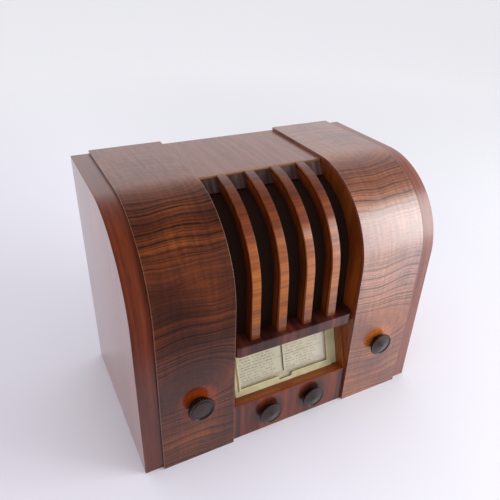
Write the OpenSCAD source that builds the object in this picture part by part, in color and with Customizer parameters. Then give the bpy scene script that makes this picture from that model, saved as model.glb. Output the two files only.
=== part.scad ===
// Table radio with tubes: two bent veneered towers either side of a slatted loudspeaker grille,
// a leaning dial under a sill, four knobs, and the works on a steel chassis behind.
// Depths are measured forward from the plane of the cabinet's back, heights from the table.

/* [Cabinet] */
// Width over the two side boards
cab_w = 400; // [392:1:412]
// Height of the side boards
side_h = 322; // [318:1:330]
// Depth of the side boards at the table
side_d = 234; // [232:1:240]
// Radius of the bend from top to front
bend_r = 110; // [104:1:116]
// Width of the plain strip outside each tower
strip_w = 22.3; // [18:0.1:26]
// Reach of each side board under its tower skin
lip_w = 6; // [4:0.5:8]
// Width of the recess between the towers
recess_w = 169.4; // [168.4:0.2:172]
// Height by which the towers stand proud
skin_t = 4; // [3:0.5:5]
// Thickness of the recess walls
wall_t = 10; // [8:0.5:12]
// Depth of the recess walls behind the front
wall_depth = 42; // [40:0.5:44]

/* [Top, base and front] */
// Thickness of the top panel
top_t = 8; // [6:0.5:9]
// Reach of the top panel past the centre of the slats' bend
top_past = 9; // [5:1:13]
// Width of the light stringing on the top's front edge
string_w = 2; // [1:0.5:3]
// Height of the stringing
string_h = 3; // [2:0.5:4]
// Drop of the header below the top
header_drop = 18; // [14:1:22]
// Forward slope of the header
header_slope = 10; // [6:1:14]
// Thickness of the base board
base_t = 12; // [10:0.5:13]
// Height of the base board above the table
base_lift = 6; // [5:0.5:7]
// Thickness of the lower front panel
panel_t = 8; // [6:0.5:10]
// Height of the ledge's front edge
ledge_h = 57.8; // [57:0.2:58.6]
// Thickness of the ledge over the front panel
ledge_t = 1.2; // [1:0.1:2]
// Fall of the ledge for each millimetre of depth
ledge_fall = 0.194; // [0.15:0.01:0.2]

/* [Grille] */
// Number of grille slats
slat_count = 4; // [2:1:4]
// Width of a slat
slat_w = 11; // [8:0.5:14]
// Depth of a slat
slat_depth = 17; // [14:0.5:18]
// Distance between slats, centre to centre
slat_pitch = 35.7; // [30:0.1:38]
// Setback of the slat faces behind the side boards
slat_setback = 8; // [7:0.5:9]
// Radius of the slats' bend
slat_r = 109; // [106:1:112]
// Forward lean of the slats' straight feet in degrees
foot_lean = 2; // [0.5:0.5:3]
// Height of the sill's underside
sill_z = 137.5; // [137:0.5:139]
// Thickness of the sill
sill_h = 15; // [13:0.5:16]
// Depth of the sill
sill_depth = 29; // [27:0.5:30]
// Reach of the sill past the side boards
sill_proud = 1; // [0:0.5:3]
// Radius of the sill's front corners
sill_r = 10.7; // [6:0.1:14]
// Thickness of the grille cloth
cloth_t = 0.8; // [0.6:0.1:1]
// Thickness of the loudspeaker baffle
baffle_t = 8; // [6:0.5:9]
// Backward lean of the baffle in degrees
baffle_lean = 25; // [24:0.5:26]
// Clearance between the top of the baffle and the grille cloth
baffle_gap = 3.8; // [3:0.1:6]

/* [Dial] */
// Backward lean of the dial in degrees
dial_lean = 17; // [16.5:0.1:17.5]
// Setback of the dial's foot behind the side boards
dial_setback = 14.5; // [14:0.1:15]
// Height of the dial's foot
dial_z = 58; // [57.8:0.1:58.4]
// Half width of the bezel's window
window_half = 65.3; // [60:0.1:66]
// Bottom of the window above the dial's foot
window_low = 8; // [7.6:0.1:9]
// Width of the raised lip round the window
lip_step = 2.8; // [2:0.1:4]
// Width of the middle step of the bezel
mid_step = 5.4; // [4:0.1:6]
// Height of the lip above the middle step
lip_rise = 1.5; // [1:0.1:1.8]
// Height of the middle step above the outer flange
mid_rise = 1.5; // [1:0.1:1.8]
// Depth of the bezel moulding
bezel_depth = 8.2; // [8:0.1:8.4]
// Half width of the band notch in the bezel
notch_half = 9.2; // [6:0.1:10]
// Depth of the band notch
notch_drop = 5.5; // [4:0.1:6]
// Thickness of the dial glass
glass_t = 2; // [1.5:0.1:2]
// Thickness of the printed scale
scale_t = 1.5; // [1:0.1:1.6]
// Thickness of each jamb beside the bezel
jamb_t = 2.3; // [1.5:0.1:3]
// Depth of each jamb in front of the dial
jamb_out = 12.2; // [11:0.1:13]
// Width of the pointer
pointer_w = 1.2; // [0.8:0.1:2]
// Foot of the pointer above the dial's foot
pointer_low = 11.4; // [10:0.1:14]
// Travel of the pointer
pointer_travel = 110; // [100:1:114]

/* [Controls] */
// Distance of the outer knobs from the middle
outer_x = 131; // [130:0.5:133]
// Height of the outer knobs
outer_z = 91; // [90:0.5:93]
// Distance of the lower knobs from the middle
lower_x = 32.5; // [31:0.5:34]
// Height of the lower knobs
lower_z = 30.5; // [30:0.1:31]
// Diameter of the outer knobs
outer_dia = 33; // [30:0.5:36]
// Diameter of the lower knobs
lower_dia = 32; // [28:0.5:34]
// Reach of the outer knobs past the towers
outer_reach = 12; // [11.5:0.5:14]
// Reach of the lower knobs past the front panel
lower_reach = 10.5; // [10:0.5:13]
// Thickness of the outer knobs' fluted disc
outer_disc = 7; // [6:0.5:8]
// Thickness of the lower knobs' disc
lower_disc = 5.5; // [4:0.5:7]
// Number of flutes round an outer knob
flutes = 36; // [24:2:44]
// Radius of a flute
flute_r = 0.9; // [0.6:0.1:1.1]
// Depth of the dish in a knob's face
dish = 1.6; // [1:0.1:2.4]
// Radius of every control shaft
shaft_r = 3; // [2.8:0.1:3.2]
// Radius of a control's body
pot_r = 10.5; // [9:0.5:10.8]
// Length of the wave switch's arm
arm_len = 27; // [26.5:0.1:27.5]
// Turn of the wave switch each way in degrees
wave_turn = 30; // [20:1:30]

/* [Tuning drive] */
// Diameter of the drive cord
cord_dia = 1; // [0.8:0.1:1.2]
// Distance of the cord's plane in front of the chassis
cord_out = 4; // [3.8:0.1:4.2]
// Height of the cord's top run
cord_z = 145; // [144.8:0.1:145.2]
// Distance of the drum to the left of the middle
drum_x = 84; // [83:0.5:86]
// Distance of the guide pulley from the recess's right side
pulley_inset = 9.7; // [9.2:0.1:10.7]
// Radius at which the cord runs on the pulley
pulley_r = 7; // [6:0.5:7.5]
// Radius at which the cord runs on the tuning shaft
spindle_r = 4; // [3.9:0.1:4.5]
// Radius of the tuning gang's vanes
vane_r = 21; // [18:0.5:22]
// Distance between the gang's vanes
vane_pitch = 4; // [3.6:0.1:4.4]
// Thickness of the gang's vanes
vane_t = 0.8; // [0.5:0.1:1]
// Number of vanes in each section of the gang
vane_count = 6; // [3:1:6]

/* [Chassis] */
// Width of the chassis
chassis_w = 300; // [296:1:310]
// Setback of the chassis's front behind the side boards
chassis_setback = 56; // [55:0.5:57]
// Room between the back cover and the chassis
chassis_room = 14; // [13:1:16]
// Height of the chassis
chassis_h = 50; // [49:0.5:51]
// Thickness of the sheet steel
sheet_t = 1.2; // [1:0.1:1.4]
// Width of the chassis's bottom flanges
flange_w = 14; // [12:1:16]
// Radius of the chassis bolts
bolt_r = 2; // [1.8:0.1:2.2]
// Width of the transformer's core
core_w = 66; // [60:1:70]
// Height of the transformer's core
core_h = 58; // [50:1:62]
// Stack depth of the transformer's core
core_stack = 34; // [28:1:38]
// Radius of a coil can
can_r = 17; // [15:0.5:18]
// Height of a coil can
can_h = 60; // [50:1:66]
// Radius of the filter capacitor
filter_r = 16; // [14:0.5:17]
// Height of the filter capacitor
filter_h = 82; // [70:1:90]

/* [Tubes] */
// Radius of a tube's base
tube_base_r = 15; // [14:0.5:16]
// Height of a tube's base
tube_base_h = 25; // [22:1:28]
// Thickness of a bulb's glass
bulb_wall = 1; // [0.8:0.1:1.5]
// Radius of the detector tube's bulb
detector_r = 17; // [16:0.5:18]
// Length of the detector tube's bulb
detector_h = 66; // [60:1:68]
// Radius of the output tube's bulb
output_r = 21; // [19:0.5:22]
// Length of the output tube's bulb
output_h = 84; // [78:1:90]
// Radius of the rectifier tube's bulb
rectifier_r = 19; // [17:0.5:20]
// Length of the rectifier tube's bulb
rectifier_h = 74; // [68:1:80]

/* [Loudspeaker] */
// Wood left above and below the opening in the baffle
mouth_margin = 18; // [16:0.5:20]
// Width of the loudspeaker's rim round that opening
rim_w = 12; // [11:0.5:14]
// Depth of the loudspeaker's basket
basket_depth = 34; // [32:0.5:36]
// Radius of the magnet as a share of the opening's radius
magnet_share = 0.55; // [0.52:0.005:0.56]
// Length of the loudspeaker's magnet
magnet_h = 36; // [32:0.5:38]
// Radius of the voice coil
coil_r = 13; // [12:0.5:14]
// Thickness of the paper cone
paper_t = 0.8; // [0.6:0.1:1]

/* [Back] */
// Thickness of the back cover
cover_t = 4; // [3:0.5:5]
// Depth of the back cover's outer face in the cabinet
cover_in = 4; // [3.5:0.5:5]
// Number of ventilation slots in a row
vent_count = 14; // [6:1:16]
// Width of a ventilation slot
vent_w = 6; // [4:0.5:8]
// Height of a ventilation slot
vent_h = 44; // [30:1:50]
// Radius of the aerial, earth and pick-up sockets
socket_r = 2; // [1.9:0.1:2.1]
// Distance between the sockets
socket_pitch = 19; // [16:0.5:20]
// Radius of the mains lead's hole
lead_r = 3.5; // [3:0.1:4]
// Radius of the cover screws
screw_r = 1.5; // [1.2:0.1:1.7]

/* [Clearances] */
// Gap for glue behind curved skins
glue_gap = 0.2; // [0.1:0.1:0.3]
// Gap between fitted pieces that don't move
fit_gap = 0.2; // [0.1:0.1:0.3]
// Gap round pieces that move
run_gap = 0.3; // [0.25:0.05:0.35]
// Radial gap of a shaft in its bearing
bearing_gap = 0.05; // [0.02:0.01:0.08]
// Radial gap of a shaft in a hole that it only passes
pass_gap = 2; // [1.5:0.1:2.2]

/* [Hidden] */
$fn = 96;

// Cabinet
half_w = cab_w / 2;
recess_x = recess_w / 2;
tower_x = half_w - strip_w;
inner_x = tower_x - lip_w;
tower_front = side_d + skin_t;
total_d = tower_front + outer_reach;
back_y = total_d / 2;
bend_d = side_d - bend_r;
bend_z = side_h - bend_r;
cover_back = cover_in + cover_t;
base_top = base_lift + base_t;
panel_back = side_d - panel_t;
top_under = side_h - top_t;
wall_back = side_d - wall_depth;
cut = 1;

// Grille
slat_front = side_d - slat_setback;
slat_cd = slat_front - slat_r;
slat_cz = side_h - slat_r;
slat_inner_r = slat_r - slat_depth;
top_front = slat_cd + top_past;
string_back = top_front - string_w;
sill_top = sill_z + sill_h;
sill_front = side_d + sill_proud;
sill_back = sill_front - sill_depth;
cloth_r = slat_inner_r - glue_gap;
baffle_d = sill_back - 2;
baffle_z = sill_top + 0.5;
// The baffle's face passes the slats' centre at baffle_drop, baffle_run up the slope
baffle_drop = (baffle_d - slat_cd) * cos(baffle_lean) + (baffle_z - slat_cz) * sin(baffle_lean);
baffle_run = (baffle_d - slat_cd) * sin(baffle_lean) - (baffle_z - slat_cz) * cos(baffle_lean);
baffle_reach = cloth_r - cloth_t - baffle_gap;
baffle_len = baffle_run + sqrt(baffle_reach * baffle_reach - baffle_drop * baffle_drop);
mouth_u = baffle_len / 2;
mouth_r = mouth_u - mouth_margin;
rim_r = mouth_r + rim_w;
magnet_r = magnet_share * mouth_r;

// Dial: heights along its slope start at the foot, and depths at the lip's face
dial_d = side_d - dial_setback;
bezel_low = -2.5;
bezel_high = 82.5;
rebate_high = 75.7;
glass_half = window_half + 4.7;
scale_half = window_half + 6.7;
glass_low = 1;
scale_low = -0.5;
glass_face = -2;
glass_back = glass_face - glass_t;
pointer_n = glass_back - 1.1;
pointer_t = 0.6;
scale_face = -6.5;
strip_n = pointer_n - 0.4;
strip_t = 0.8;
bezel_half = recess_x - jamb_t - fit_gap;
mid_half = window_half + lip_step;
flange_half = mid_half + mid_step;

// Tuning drive
drum_r = pointer_travel / PI;
drum_z = cord_z - drum_r;
pulley_x = recess_x - pulley_inset;
pulley_z = cord_z - pulley_r;
chassis_front = side_d - chassis_setback;
cord_d = chassis_front + cord_out;
groove_drop = cord_dia / 2 + run_gap;
wheel_t = 5;
flange_t = 0.8;
wheel_back = cord_d - wheel_t / 2;
wheel_front = cord_d + wheel_t / 2;
rim_rise = 1.8;

// Chassis
chassis_back = cover_back + chassis_room;
chassis_d = chassis_front - chassis_back;
chassis_top = base_top + chassis_h;
wall_in = chassis_front - sheet_t;
frame_front = chassis_front + sheet_t;
ear_w = 36;
ear_h = 44;
bolt_x = chassis_w / 2 - 20;
bolt_inset = flange_w / 2;
bush_r = 4.5;
pot_depth = 16;
frame_left = drum_x + 20;
frame_right = pulley_x + 9;
frame_low = base_top + 26;
rail_z = cord_z + 3.3;
rail_half = pointer_travel / 2 + 12;
lamp_x = 25;
lamp_z = 95;
lamp_r = 5;
rod_back = cord_d + 4.5;
rod_front = rod_back + 1.5;
arm_back = rod_front + run_gap;
arm_t = 2;
pin_r = 1.5;
pin_z = outer_z - arm_len;
band_throw = arm_len * wave_turn * PI / 180;
tab_x = 31;
tab_half = 3;
tab_z = dial_z + 2.15;
tab_h = 2.6;
gang_d = chassis_back + 0.7692 * chassis_d;
gang_len = 60;
gang_half = vane_r + 4;
gang_foot = 2;
section_gap = 28;

// Places of the parts on the chassis, as across and depth
function on_chassis(x, share) = [x, chassis_back + share * chassis_d];
detector_at = on_chassis(-25, 0.2115);
output_at = on_chassis(80, 0.2308);
rectifier_at = on_chassis(126, 0.2308);
tube_places = [detector_at, output_at, rectifier_at];
can_places = [on_chassis(22, 0.6154), on_chassis(66, 0.6154)];
filter_at = on_chassis(126, 0.5256);
core_at = on_chassis(-106, 0.2821);
socket_h = 4;
socket_rim = 1.5;

// Back
terminal_x = -20;
terminal_z = base_top + 21;
terminal_half = 1.5 * socket_pitch + 9;
terminal_h = 18;
terminal_face = cover_in + 2;
grommet_x = 110;
grommet_z = base_top + 22;
grommet_r = lead_r + 5;
vent_top = top_under - 30 - vent_h / 2;
vent_rows = [vent_top - vent_h - 18, vent_top];

// Outlines are drawn with depth across and height up, and run from x0 to x1
module slab(x0, x1) {
  translate([x1, back_y, 0]) rotate([90, 0, -90]) linear_extrude(x1 - x0) children();
}

// Plans are drawn with width across and depth up, and run from z0 to z1
module plan(z0, z1) {
  translate([0, back_y, z0]) mirror([0, 1, 0]) linear_extrude(z1 - z0) children();
}

// A place on a forward axis: children grow towards the front from depth d
module forward(x, z, d) {
  translate([x, back_y - d, z]) rotate([90, 0, 0]) children();
}

// A leaning face: x across, y up the slope, z out of the face
module leaning(d, z, lean) {
  translate([0, back_y - d, z]) rotate([90 - lean, 0, 0]) children();
}

// A place on the chassis, with children growing upward
module stand(place, z) {
  translate([place[0], back_y - place[1], z]) children();
}

module both_sides() {
  children();
  mirror([1, 0, 0]) children();
}

module box(x0, x1, d0, d1, z0, z1) {
  translate([x0, back_y - d1, z0]) cube([x1 - x0, d1 - d0, z1 - z0]);
}

module tube(r, bore, h) {
  difference() {
    cylinder(r = r, h = h);
    translate([0, 0, -cut]) cylinder(r = bore, h = h + 2 * cut);
  }
}

// The side outline of the cabinet, grown by grow at the top and front
module side_outline(grow) {
  square([bend_d, side_h + grow]);
  square([side_d + grow, bend_z]);
  translate([bend_d, bend_z]) intersection() {
    circle(bend_r + grow);
    square(bend_r + grow);
  }
}

module side_board() {
  color("sienna") slab(inner_x, half_w) side_outline(0);
}

module tower_skin() {
  color("saddlebrown") difference() {
    slab(recess_x, tower_x) difference() {
      side_outline(skin_t);
      side_outline(glue_gap);
    }
    forward(outer_x, outer_z, side_d - cut)
      cylinder(r = shaft_r + pass_gap, h = skin_t + 2 * cut);
  }
}

module recess_wall() {
  color("peru") difference() {
    slab(recess_x, recess_x + wall_t) difference() {
      side_outline(0);
      side_outline(-wall_depth);
      square([cover_back, side_h + cut]);
    }
    top_screw_hole();
  }
}

module top_panel() {
  color("saddlebrown") slab(-recess_x, recess_x)
    translate([0, top_under]) square([string_back, top_t]);
}

module top_edge_stringing() {
  color("burlywood") slab(-recess_x, recess_x)
    translate([string_back, side_h - string_h]) square([string_w, string_h]);
}

module header_outline() {
  header_low = side_h - header_drop;
  header_out = top_front + header_slope;
  polygon([
    [string_back, side_h - string_h],
    [top_front, side_h - string_h],
    [header_out, header_low],
    [header_out - 7, header_low - 5],
    [string_back - 10, top_under],
    [string_back, top_under]
  ]);
}

module grille_header() {
  color("rosybrown") slab(-recess_x, recess_x) header_outline();
}

// The area behind a slat's face or back: a round with a straight leg that leans forward
module slat_side(r) {
  translate([slat_cd, slat_cz]) rotate(foot_lean) {
    circle(r);
    translate([0, -slat_cz]) square([r, slat_cz]);
  }
}

module slat_outline() {
  intersection() {
    difference() {
      slat_side(slat_r);
      slat_side(slat_inner_r);
      header_outline();
    }
    translate([top_front, sill_top]) square([side_d, side_h]);
  }
}

module grille_slat(i) {
  x = (i - (slat_count + 1) / 2) * slat_pitch;
  if (i <= slat_count) color("chocolate") slab(x - slat_w / 2, x + slat_w / 2) slat_outline();
}

module grille_sill() {
  color("#4a2a20") plan(sill_z, sill_top) {
    translate([-recess_x, sill_back]) square([recess_w, sill_depth - sill_r]);
    translate([-recess_x + sill_r, sill_back]) square([recess_w - 2 * sill_r, sill_depth]);
    for (s = [-1, 1]) translate([s * (recess_x - sill_r), sill_front - sill_r]) circle(sill_r);
  }
}

module grille_cloth() {
  color("#1c1412") slab(-recess_x + fit_gap, recess_x - fit_gap) intersection() {
    difference() {
      slat_side(cloth_r);
      slat_side(cloth_r - cloth_t);
    }
    translate([top_front + header_slope + 1, sill_top]) square([side_d, side_h]);
  }
}

module on_baffle() {
  leaning(baffle_d, baffle_z, baffle_lean) children();
}

module baffle_board() {
  color("#5a4634") on_baffle() difference() {
    translate([-recess_x, 0, -baffle_t]) cube([recess_w, baffle_len, baffle_t]);
    translate([0, mouth_u, -baffle_t - cut]) cylinder(r = mouth_r, h = baffle_t + 2 * cut);
  }
}

// The ledge's top falls towards the back
function ledge_z(d) = ledge_h - ledge_fall * (side_d - d);

module lower_front_panel() {
  color("#5b3128") difference() {
    slab(-recess_x, recess_x) polygon([
      [panel_back, 0],
      [side_d, 0],
      [side_d, ledge_h - ledge_t],
      [panel_back, ledge_z(panel_back) - ledge_t]
    ]);
    for (s = [-1, 1]) forward(s * lower_x, lower_z, panel_back - cut)
      cylinder(r = shaft_r + pass_gap, h = panel_t + 2 * cut);
  }
}

ledge_back = dial_d - 1.5;

module dial_ledge() {
  color("#a4511c") slab(-recess_x, recess_x) polygon([
    [side_d, ledge_h],
    [side_d, ledge_h - ledge_t],
    [panel_back, ledge_z(panel_back) - ledge_t],
    [panel_back, ledge_h - 8],
    [ledge_back, ledge_h - 8],
    [ledge_back, ledge_z(ledge_back)]
  ]);
}

// Depth at height z of the plane that lies n in front of the dial's lip
function dial_depth(n, z) = dial_d + n / cos(dial_lean) - (z - dial_z) * tan(dial_lean);

module dial_jambs() {
  low = ledge_h - 6;
  color("#6b3320") both_sides() slab(recess_x - jamb_t, recess_x) difference() {
    polygon([
      [dial_depth(-bezel_depth, low), low],
      [dial_depth(jamb_out, low), low],
      [dial_depth(jamb_out, sill_z), sill_z],
      [dial_depth(-bezel_depth, sill_z), sill_z]
    ]);
    polygon([
      [ledge_back, low - 20],
      [side_d + 20, low - 20],
      [side_d + 20, ledge_z(side_d + 20)],
      [ledge_back, ledge_z(ledge_back)]
    ]);
  }
}

module base_board() {
  color("tan") difference() {
    plan(base_lift, base_top) difference() {
      translate([-inner_x, cover_back]) square([2 * inner_x, panel_back - cover_back]);
      for (s = [-1, 1]) translate([s * (recess_x + wall_t / 2), wall_back + wall_depth / 2])
        square([wall_t + 2 * fit_gap, wall_depth + 2 * fit_gap], center = true);
    }
    bolt_places() translate([0, 0, -cut]) cylinder(r = bolt_r + fit_gap, h = 60);
    base_screw_holes();
  }
}

// Screws of the back cover: three into the base board, one into each recess wall
base_screw_x = [-inner_x + 16, 0, inner_x - 16];
base_screw_z = base_lift + base_t / 2;
top_screw_x = recess_x + wall_t / 2;
top_screw_z = side_h - wall_depth / 2;
screw_len = 14;

module base_screw_holes() {
  for (x = base_screw_x) forward(x, base_screw_z, cover_in - cut)
    cylinder(r = screw_r + 2 * bearing_gap, h = screw_len + 2 * cut);
}

module top_screw_hole() {
  forward(top_screw_x, top_screw_z, cover_in - cut)
    cylinder(r = screw_r + 2 * bearing_gap, h = screw_len + 2 * cut);
}

module cover_screw() {
  translate([0, 0, -2]) cylinder(r = screw_r + 2, h = 2);
  cylinder(r = screw_r, h = screw_len);
}

module back_cover_screws() {
  color("darkgray") {
    for (x = base_screw_x) forward(x, base_screw_z, cover_in) cover_screw();
    both_sides() forward(top_screw_x, top_screw_z, cover_in) cover_screw();
  }
}

module back_cover() {
  low = base_lift + 2;
  vent_pitch = 2 * (inner_x - 24) / vent_count;
  color("#7a5a3c") difference() {
    box(-inner_x + fit_gap, inner_x - fit_gap, cover_in, cover_back, low, top_under - fit_gap);
    for (z = vent_rows) for (i = [0:vent_count - 1])
      box((i + 0.5 - vent_count / 2) * vent_pitch - vent_w / 2,
          (i + 0.5 - vent_count / 2) * vent_pitch + vent_w / 2,
          cover_in - cut, cover_back + cut, z - vent_h / 2, z + vent_h / 2);
    box(terminal_x - terminal_half - 1, terminal_x + terminal_half + 1,
        cover_in - cut, cover_back + cut,
        terminal_z - terminal_h / 2 - 1, terminal_z + terminal_h / 2 + 1);
    forward(grommet_x, grommet_z, cover_in - cut)
      cylinder(r = grommet_r - 2, h = cover_t + 2 * cut);
    base_screw_holes();
    both_sides() top_screw_hole();
  }
}

// Dial
module on_dial() {
  leaning(dial_d, dial_z, dial_lean) children();
}

module dial_plate(half, low, high, n0, n1) {
  translate([-half, low, n0]) cube([2 * half, high - low, n1 - n0]);
}

module dial_bezel() {
  color("#e4dcb4") on_dial() difference() {
    union() {
      dial_plate(bezel_half, bezel_low, bezel_high, -bezel_depth, -lip_rise - mid_rise);
      dial_plate(flange_half, bezel_low, bezel_high, -bezel_depth, -lip_rise);
      dial_plate(mid_half, window_low - lip_step, bezel_high, -bezel_depth, 0);
    }
    dial_plate(window_half, window_low, rebate_high, -bezel_depth - cut, cut);
    dial_plate(notch_half, window_low - notch_drop, window_low + cut, -bezel_depth - cut, cut);
    dial_plate(glass_half + fit_gap, glass_low - fit_gap, rebate_high, -bezel_depth - cut,
               glass_face);
    dial_plate(scale_half + fit_gap, scale_low - fit_gap, rebate_high, -bezel_depth - cut,
               scale_face);
    dial_plate(bezel_half + cut, rebate_high, bezel_high + cut, -bezel_depth - cut, glass_back);
  }
}

module dial_glass() {
  color([0.8, 0.9, 0.9, 0.3]) on_dial()
    dial_plate(glass_half, glass_low, rebate_high - fit_gap, glass_back, glass_face);
}

module dial_scale() {
  slot = tab_half + band_throw + run_gap;
  color("#d8d0b0") on_dial() difference() {
    dial_plate(scale_half, scale_low, rebate_high - fit_gap, scale_face - scale_t, scale_face);
    translate([tab_x - slot, 2, scale_face - scale_t - cut])
      cube([2 * slot, 4.8, scale_t + 2 * cut]);
  }
}

module dial_frame() {
  color("silver") {
    difference() {
      box(-frame_left, frame_right, chassis_front, frame_front, frame_low, rail_z + sheet_t);
      forward(-drum_x, drum_z, chassis_front - cut)
        cylinder(r = shaft_r + 3, h = sheet_t + 2 * cut);
    }
    box(-rail_half, rail_half, chassis_front, cord_d + 3, rail_z, rail_z + sheet_t);
    for (x = [-lamp_x, lamp_x]) forward(x, lamp_z, frame_front) difference() {
      cylinder(r = lamp_r + 1.2, h = 7);
      translate([0, 0, 1]) cylinder(r = lamp_r, h = 7);
    }
    forward(pulley_x, pulley_z, frame_front) {
      cylinder(r = 2, h = wheel_front + run_gap - frame_front);
      translate([0, 0, wheel_front + run_gap - frame_front]) cylinder(r = 3.5, h = 1.2);
    }
  }
}

module dial_lamps() {
  color("#f2ecd8") for (x = [-lamp_x, lamp_x]) forward(x, lamp_z, frame_front + 1 + fit_gap) {
    cylinder(r = lamp_r - fit_gap, h = 1.4 * lamp_r);
    translate([0, 0, 1.8 * lamp_r]) sphere(lamp_r - 0.4);
  }
}

module dial_pointer() {
  head = 4;
  low = cord_z - 2.5;
  nose = dial_depth(pointer_n + pointer_t / 2, low) + 0.7;
  rail_nose = cord_d + 3 + run_gap;
  color("#30221c") {
    on_dial() translate([-pointer_w / 2, pointer_low, pointer_n - pointer_t / 2])
      cube([pointer_w, (cord_z - dial_z) / cos(dial_lean) - pointer_low, pointer_t]);
    difference() {
      box(-head, head, wheel_back + run_gap, nose, low, rail_z - run_gap);
      box(-head - cut, head + cut, wheel_back - cut, cord_d + groove_drop,
          cord_z - groove_drop, cord_z + groove_drop);
    }
    box(-head, head, rail_nose, nose, low, rail_z + sheet_t + run_gap + 1.2);
    box(-head, head, cord_d - 1, nose, rail_z + sheet_t + run_gap,
        rail_z + sheet_t + run_gap + 1.2);
  }
}

module band_indicator() {
  strip_half = notch_half + band_throw + 1;
  fork_x = outer_x;
  fork_gap = pin_r + 1;
  prong = 2.5;
  tab_d = dial_depth(strip_n, tab_z);
  color("#c9bb90") {
    on_dial() translate([-strip_half, glass_low + 0.4, strip_n - strip_t / 2])
      cube([strip_half + tab_x + tab_half, window_low - glass_low, strip_t]);
    box(tab_x - tab_half, tab_x + tab_half, rod_back, tab_d, tab_z - tab_h / 2,
        tab_z + tab_h / 2);
    box(tab_x - tab_half, fork_x + fork_gap + prong, rod_back, rod_front,
        tab_z - tab_h / 2, tab_z + tab_h / 2);
    for (s = [-1, 1]) {
      side = fork_x + s * (fork_gap + prong / 2);
      box(side - prong / 2, side + prong / 2, rod_back, rod_front, tab_z - tab_h / 2,
          pin_z + 7);
    }
  }
}

// Knobs: the back of each hub lies run_gap off the wood
module knob_disc(dia, reach, disc) {
  r = dia / 2;
  hub = 0.62 * r;
  start = 2 * run_gap;
  rotate_extrude() polygon([
    [0, start],
    [hub, start],
    [hub, reach - disc],
    [r - 0.8, reach - disc],
    [r, reach - disc + 0.8],
    [r, reach - 0.8],
    [r - 0.8, reach],
    [0, reach]
  ]);
}

module knob_bore(reach) {
  translate([0, 0, -cut]) cylinder(r = shaft_r + bearing_gap, h = reach - 3 + cut);
}

module knob_flutes(dia, reach) {
  for (i = [0:flutes - 1]) rotate(i * 360 / flutes)
    translate([dia / 2 + flute_r / 3, 0, -cut]) cylinder(r = flute_r, h = reach + 2 * cut, $fn = 16);
}

module knob_dish(dia, reach) {
  translate([0, 0, reach - dish]) cylinder(r1 = 0.4, r2 = dia / 2 - 1.9, h = dish + 0.01, $fn = 96);
}

module volume_knob() {
  color("#2c1f1b") forward(-outer_x, outer_z, tower_front) difference() {
    knob_disc(outer_dia, outer_reach, outer_disc);
    knob_bore(outer_reach);
    knob_flutes(outer_dia, outer_reach);
    translate([0, 0, outer_reach - 0.6]) tube(outer_dia / 2 - 2.4, outer_dia / 2 - 3.6, 1);
  }
}

module wave_knob() {
  color("#2c1f1b") forward(outer_x, outer_z, tower_front) difference() {
    knob_disc(outer_dia, outer_reach, outer_disc);
    knob_bore(outer_reach);
    knob_flutes(outer_dia, outer_reach);
    knob_dish(outer_dia, outer_reach);
  }
}

module lower_knob() {
  difference() {
    knob_disc(lower_dia, lower_reach, lower_disc);
    knob_bore(lower_reach);
    knob_dish(lower_dia, lower_reach);
  }
}

module tone_knob() {
  color("#2c1f1b") forward(-lower_x, lower_z, side_d) lower_knob();
}

module tuning_knob() {
  color("#2c1f1b") forward(lower_x, lower_z, side_d) lower_knob();
}

pot_back = wall_in - pot_depth;
shaft_back = pot_back + 4;
outer_shaft_len = tower_front + outer_reach - 3 - fit_gap - shaft_back;
lower_shaft_len = side_d + lower_reach - 3 - fit_gap - shaft_back;

module volume_shaft() {
  color("lightgray") forward(-outer_x, outer_z, shaft_back)
    cylinder(r = shaft_r, h = outer_shaft_len);
}

module tone_shaft() {
  color("lightgray") forward(-lower_x, lower_z, shaft_back)
    cylinder(r = shaft_r, h = lower_shaft_len);
}

module tuning_shaft() {
  root_r = spindle_r - groove_drop;
  color("lightgray") {
    forward(lower_x, lower_z, shaft_back + 8) cylinder(r = shaft_r, h = lower_shaft_len - 8);
    forward(lower_x, lower_z, wheel_back) cylinder(r = root_r, h = wheel_t);
    for (d = [wheel_back, wheel_front - flange_t]) forward(lower_x, lower_z, d)
      cylinder(r = spindle_r + 1.5, h = flange_t);
  }
}

module wave_shaft() {
  color("lightgray") {
    forward(outer_x, outer_z, shaft_back) cylinder(r = shaft_r, h = outer_shaft_len);
    forward(outer_x, outer_z, arm_back) cylinder(r = shaft_r + 2, h = 4);
    box(outer_x - 2.5, outer_x + 2.5, arm_back, arm_back + arm_t, pin_z - 2.5, outer_z);
    forward(outer_x, pin_z, rod_back - 1) cylinder(r = pin_r, h = arm_back - rod_back + 1.5);
  }
}

module potentiometer() {
  difference() {
    union() {
      cylinder(r = pot_r, h = pot_depth);
      cylinder(r = bush_r, h = pot_depth + sheet_t + 5);
      translate([0, 0, pot_depth + sheet_t]) cylinder(r = 7, h = 2, $fn = 6);
      translate([-6, -pot_r - 5, 5]) cube([12, 8, 1.5]);
    }
    translate([0, 0, 3]) cylinder(r = shaft_r + bearing_gap, h = pot_depth + 20);
  }
}

module potentiometers() {
  color("#8a8d90") {
    forward(-outer_x, outer_z, pot_back) potentiometer();
    forward(-lower_x, lower_z, pot_back) rotate(180) potentiometer();
  }
}

module wave_switch() {
  wafer_r = 15;
  color("#b08a50") forward(outer_x, outer_z, pot_back - 20) difference() {
    union() {
      for (h = [0, 16, 32.4]) translate([0, 0, h]) cylinder(r = wafer_r, h = 1.8);
      translate([0, 0, 34]) cylinder(r = bush_r + 2.5, h = 2);
      for (a = [-1, 1]) translate([a * (wafer_r - 3), 0, 0]) cylinder(r = 1.5, h = 36);
      cylinder(r = bush_r + 1, h = 34);
      translate([0, 0, 34]) cylinder(r = bush_r, h = 2 + sheet_t + 5);
      translate([0, 0, 36 + sheet_t]) cylinder(r = 7, h = 2, $fn = 6);
    }
    translate([0, 0, 23]) cylinder(r = shaft_r + bearing_gap, h = 40);
  }
}

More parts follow.
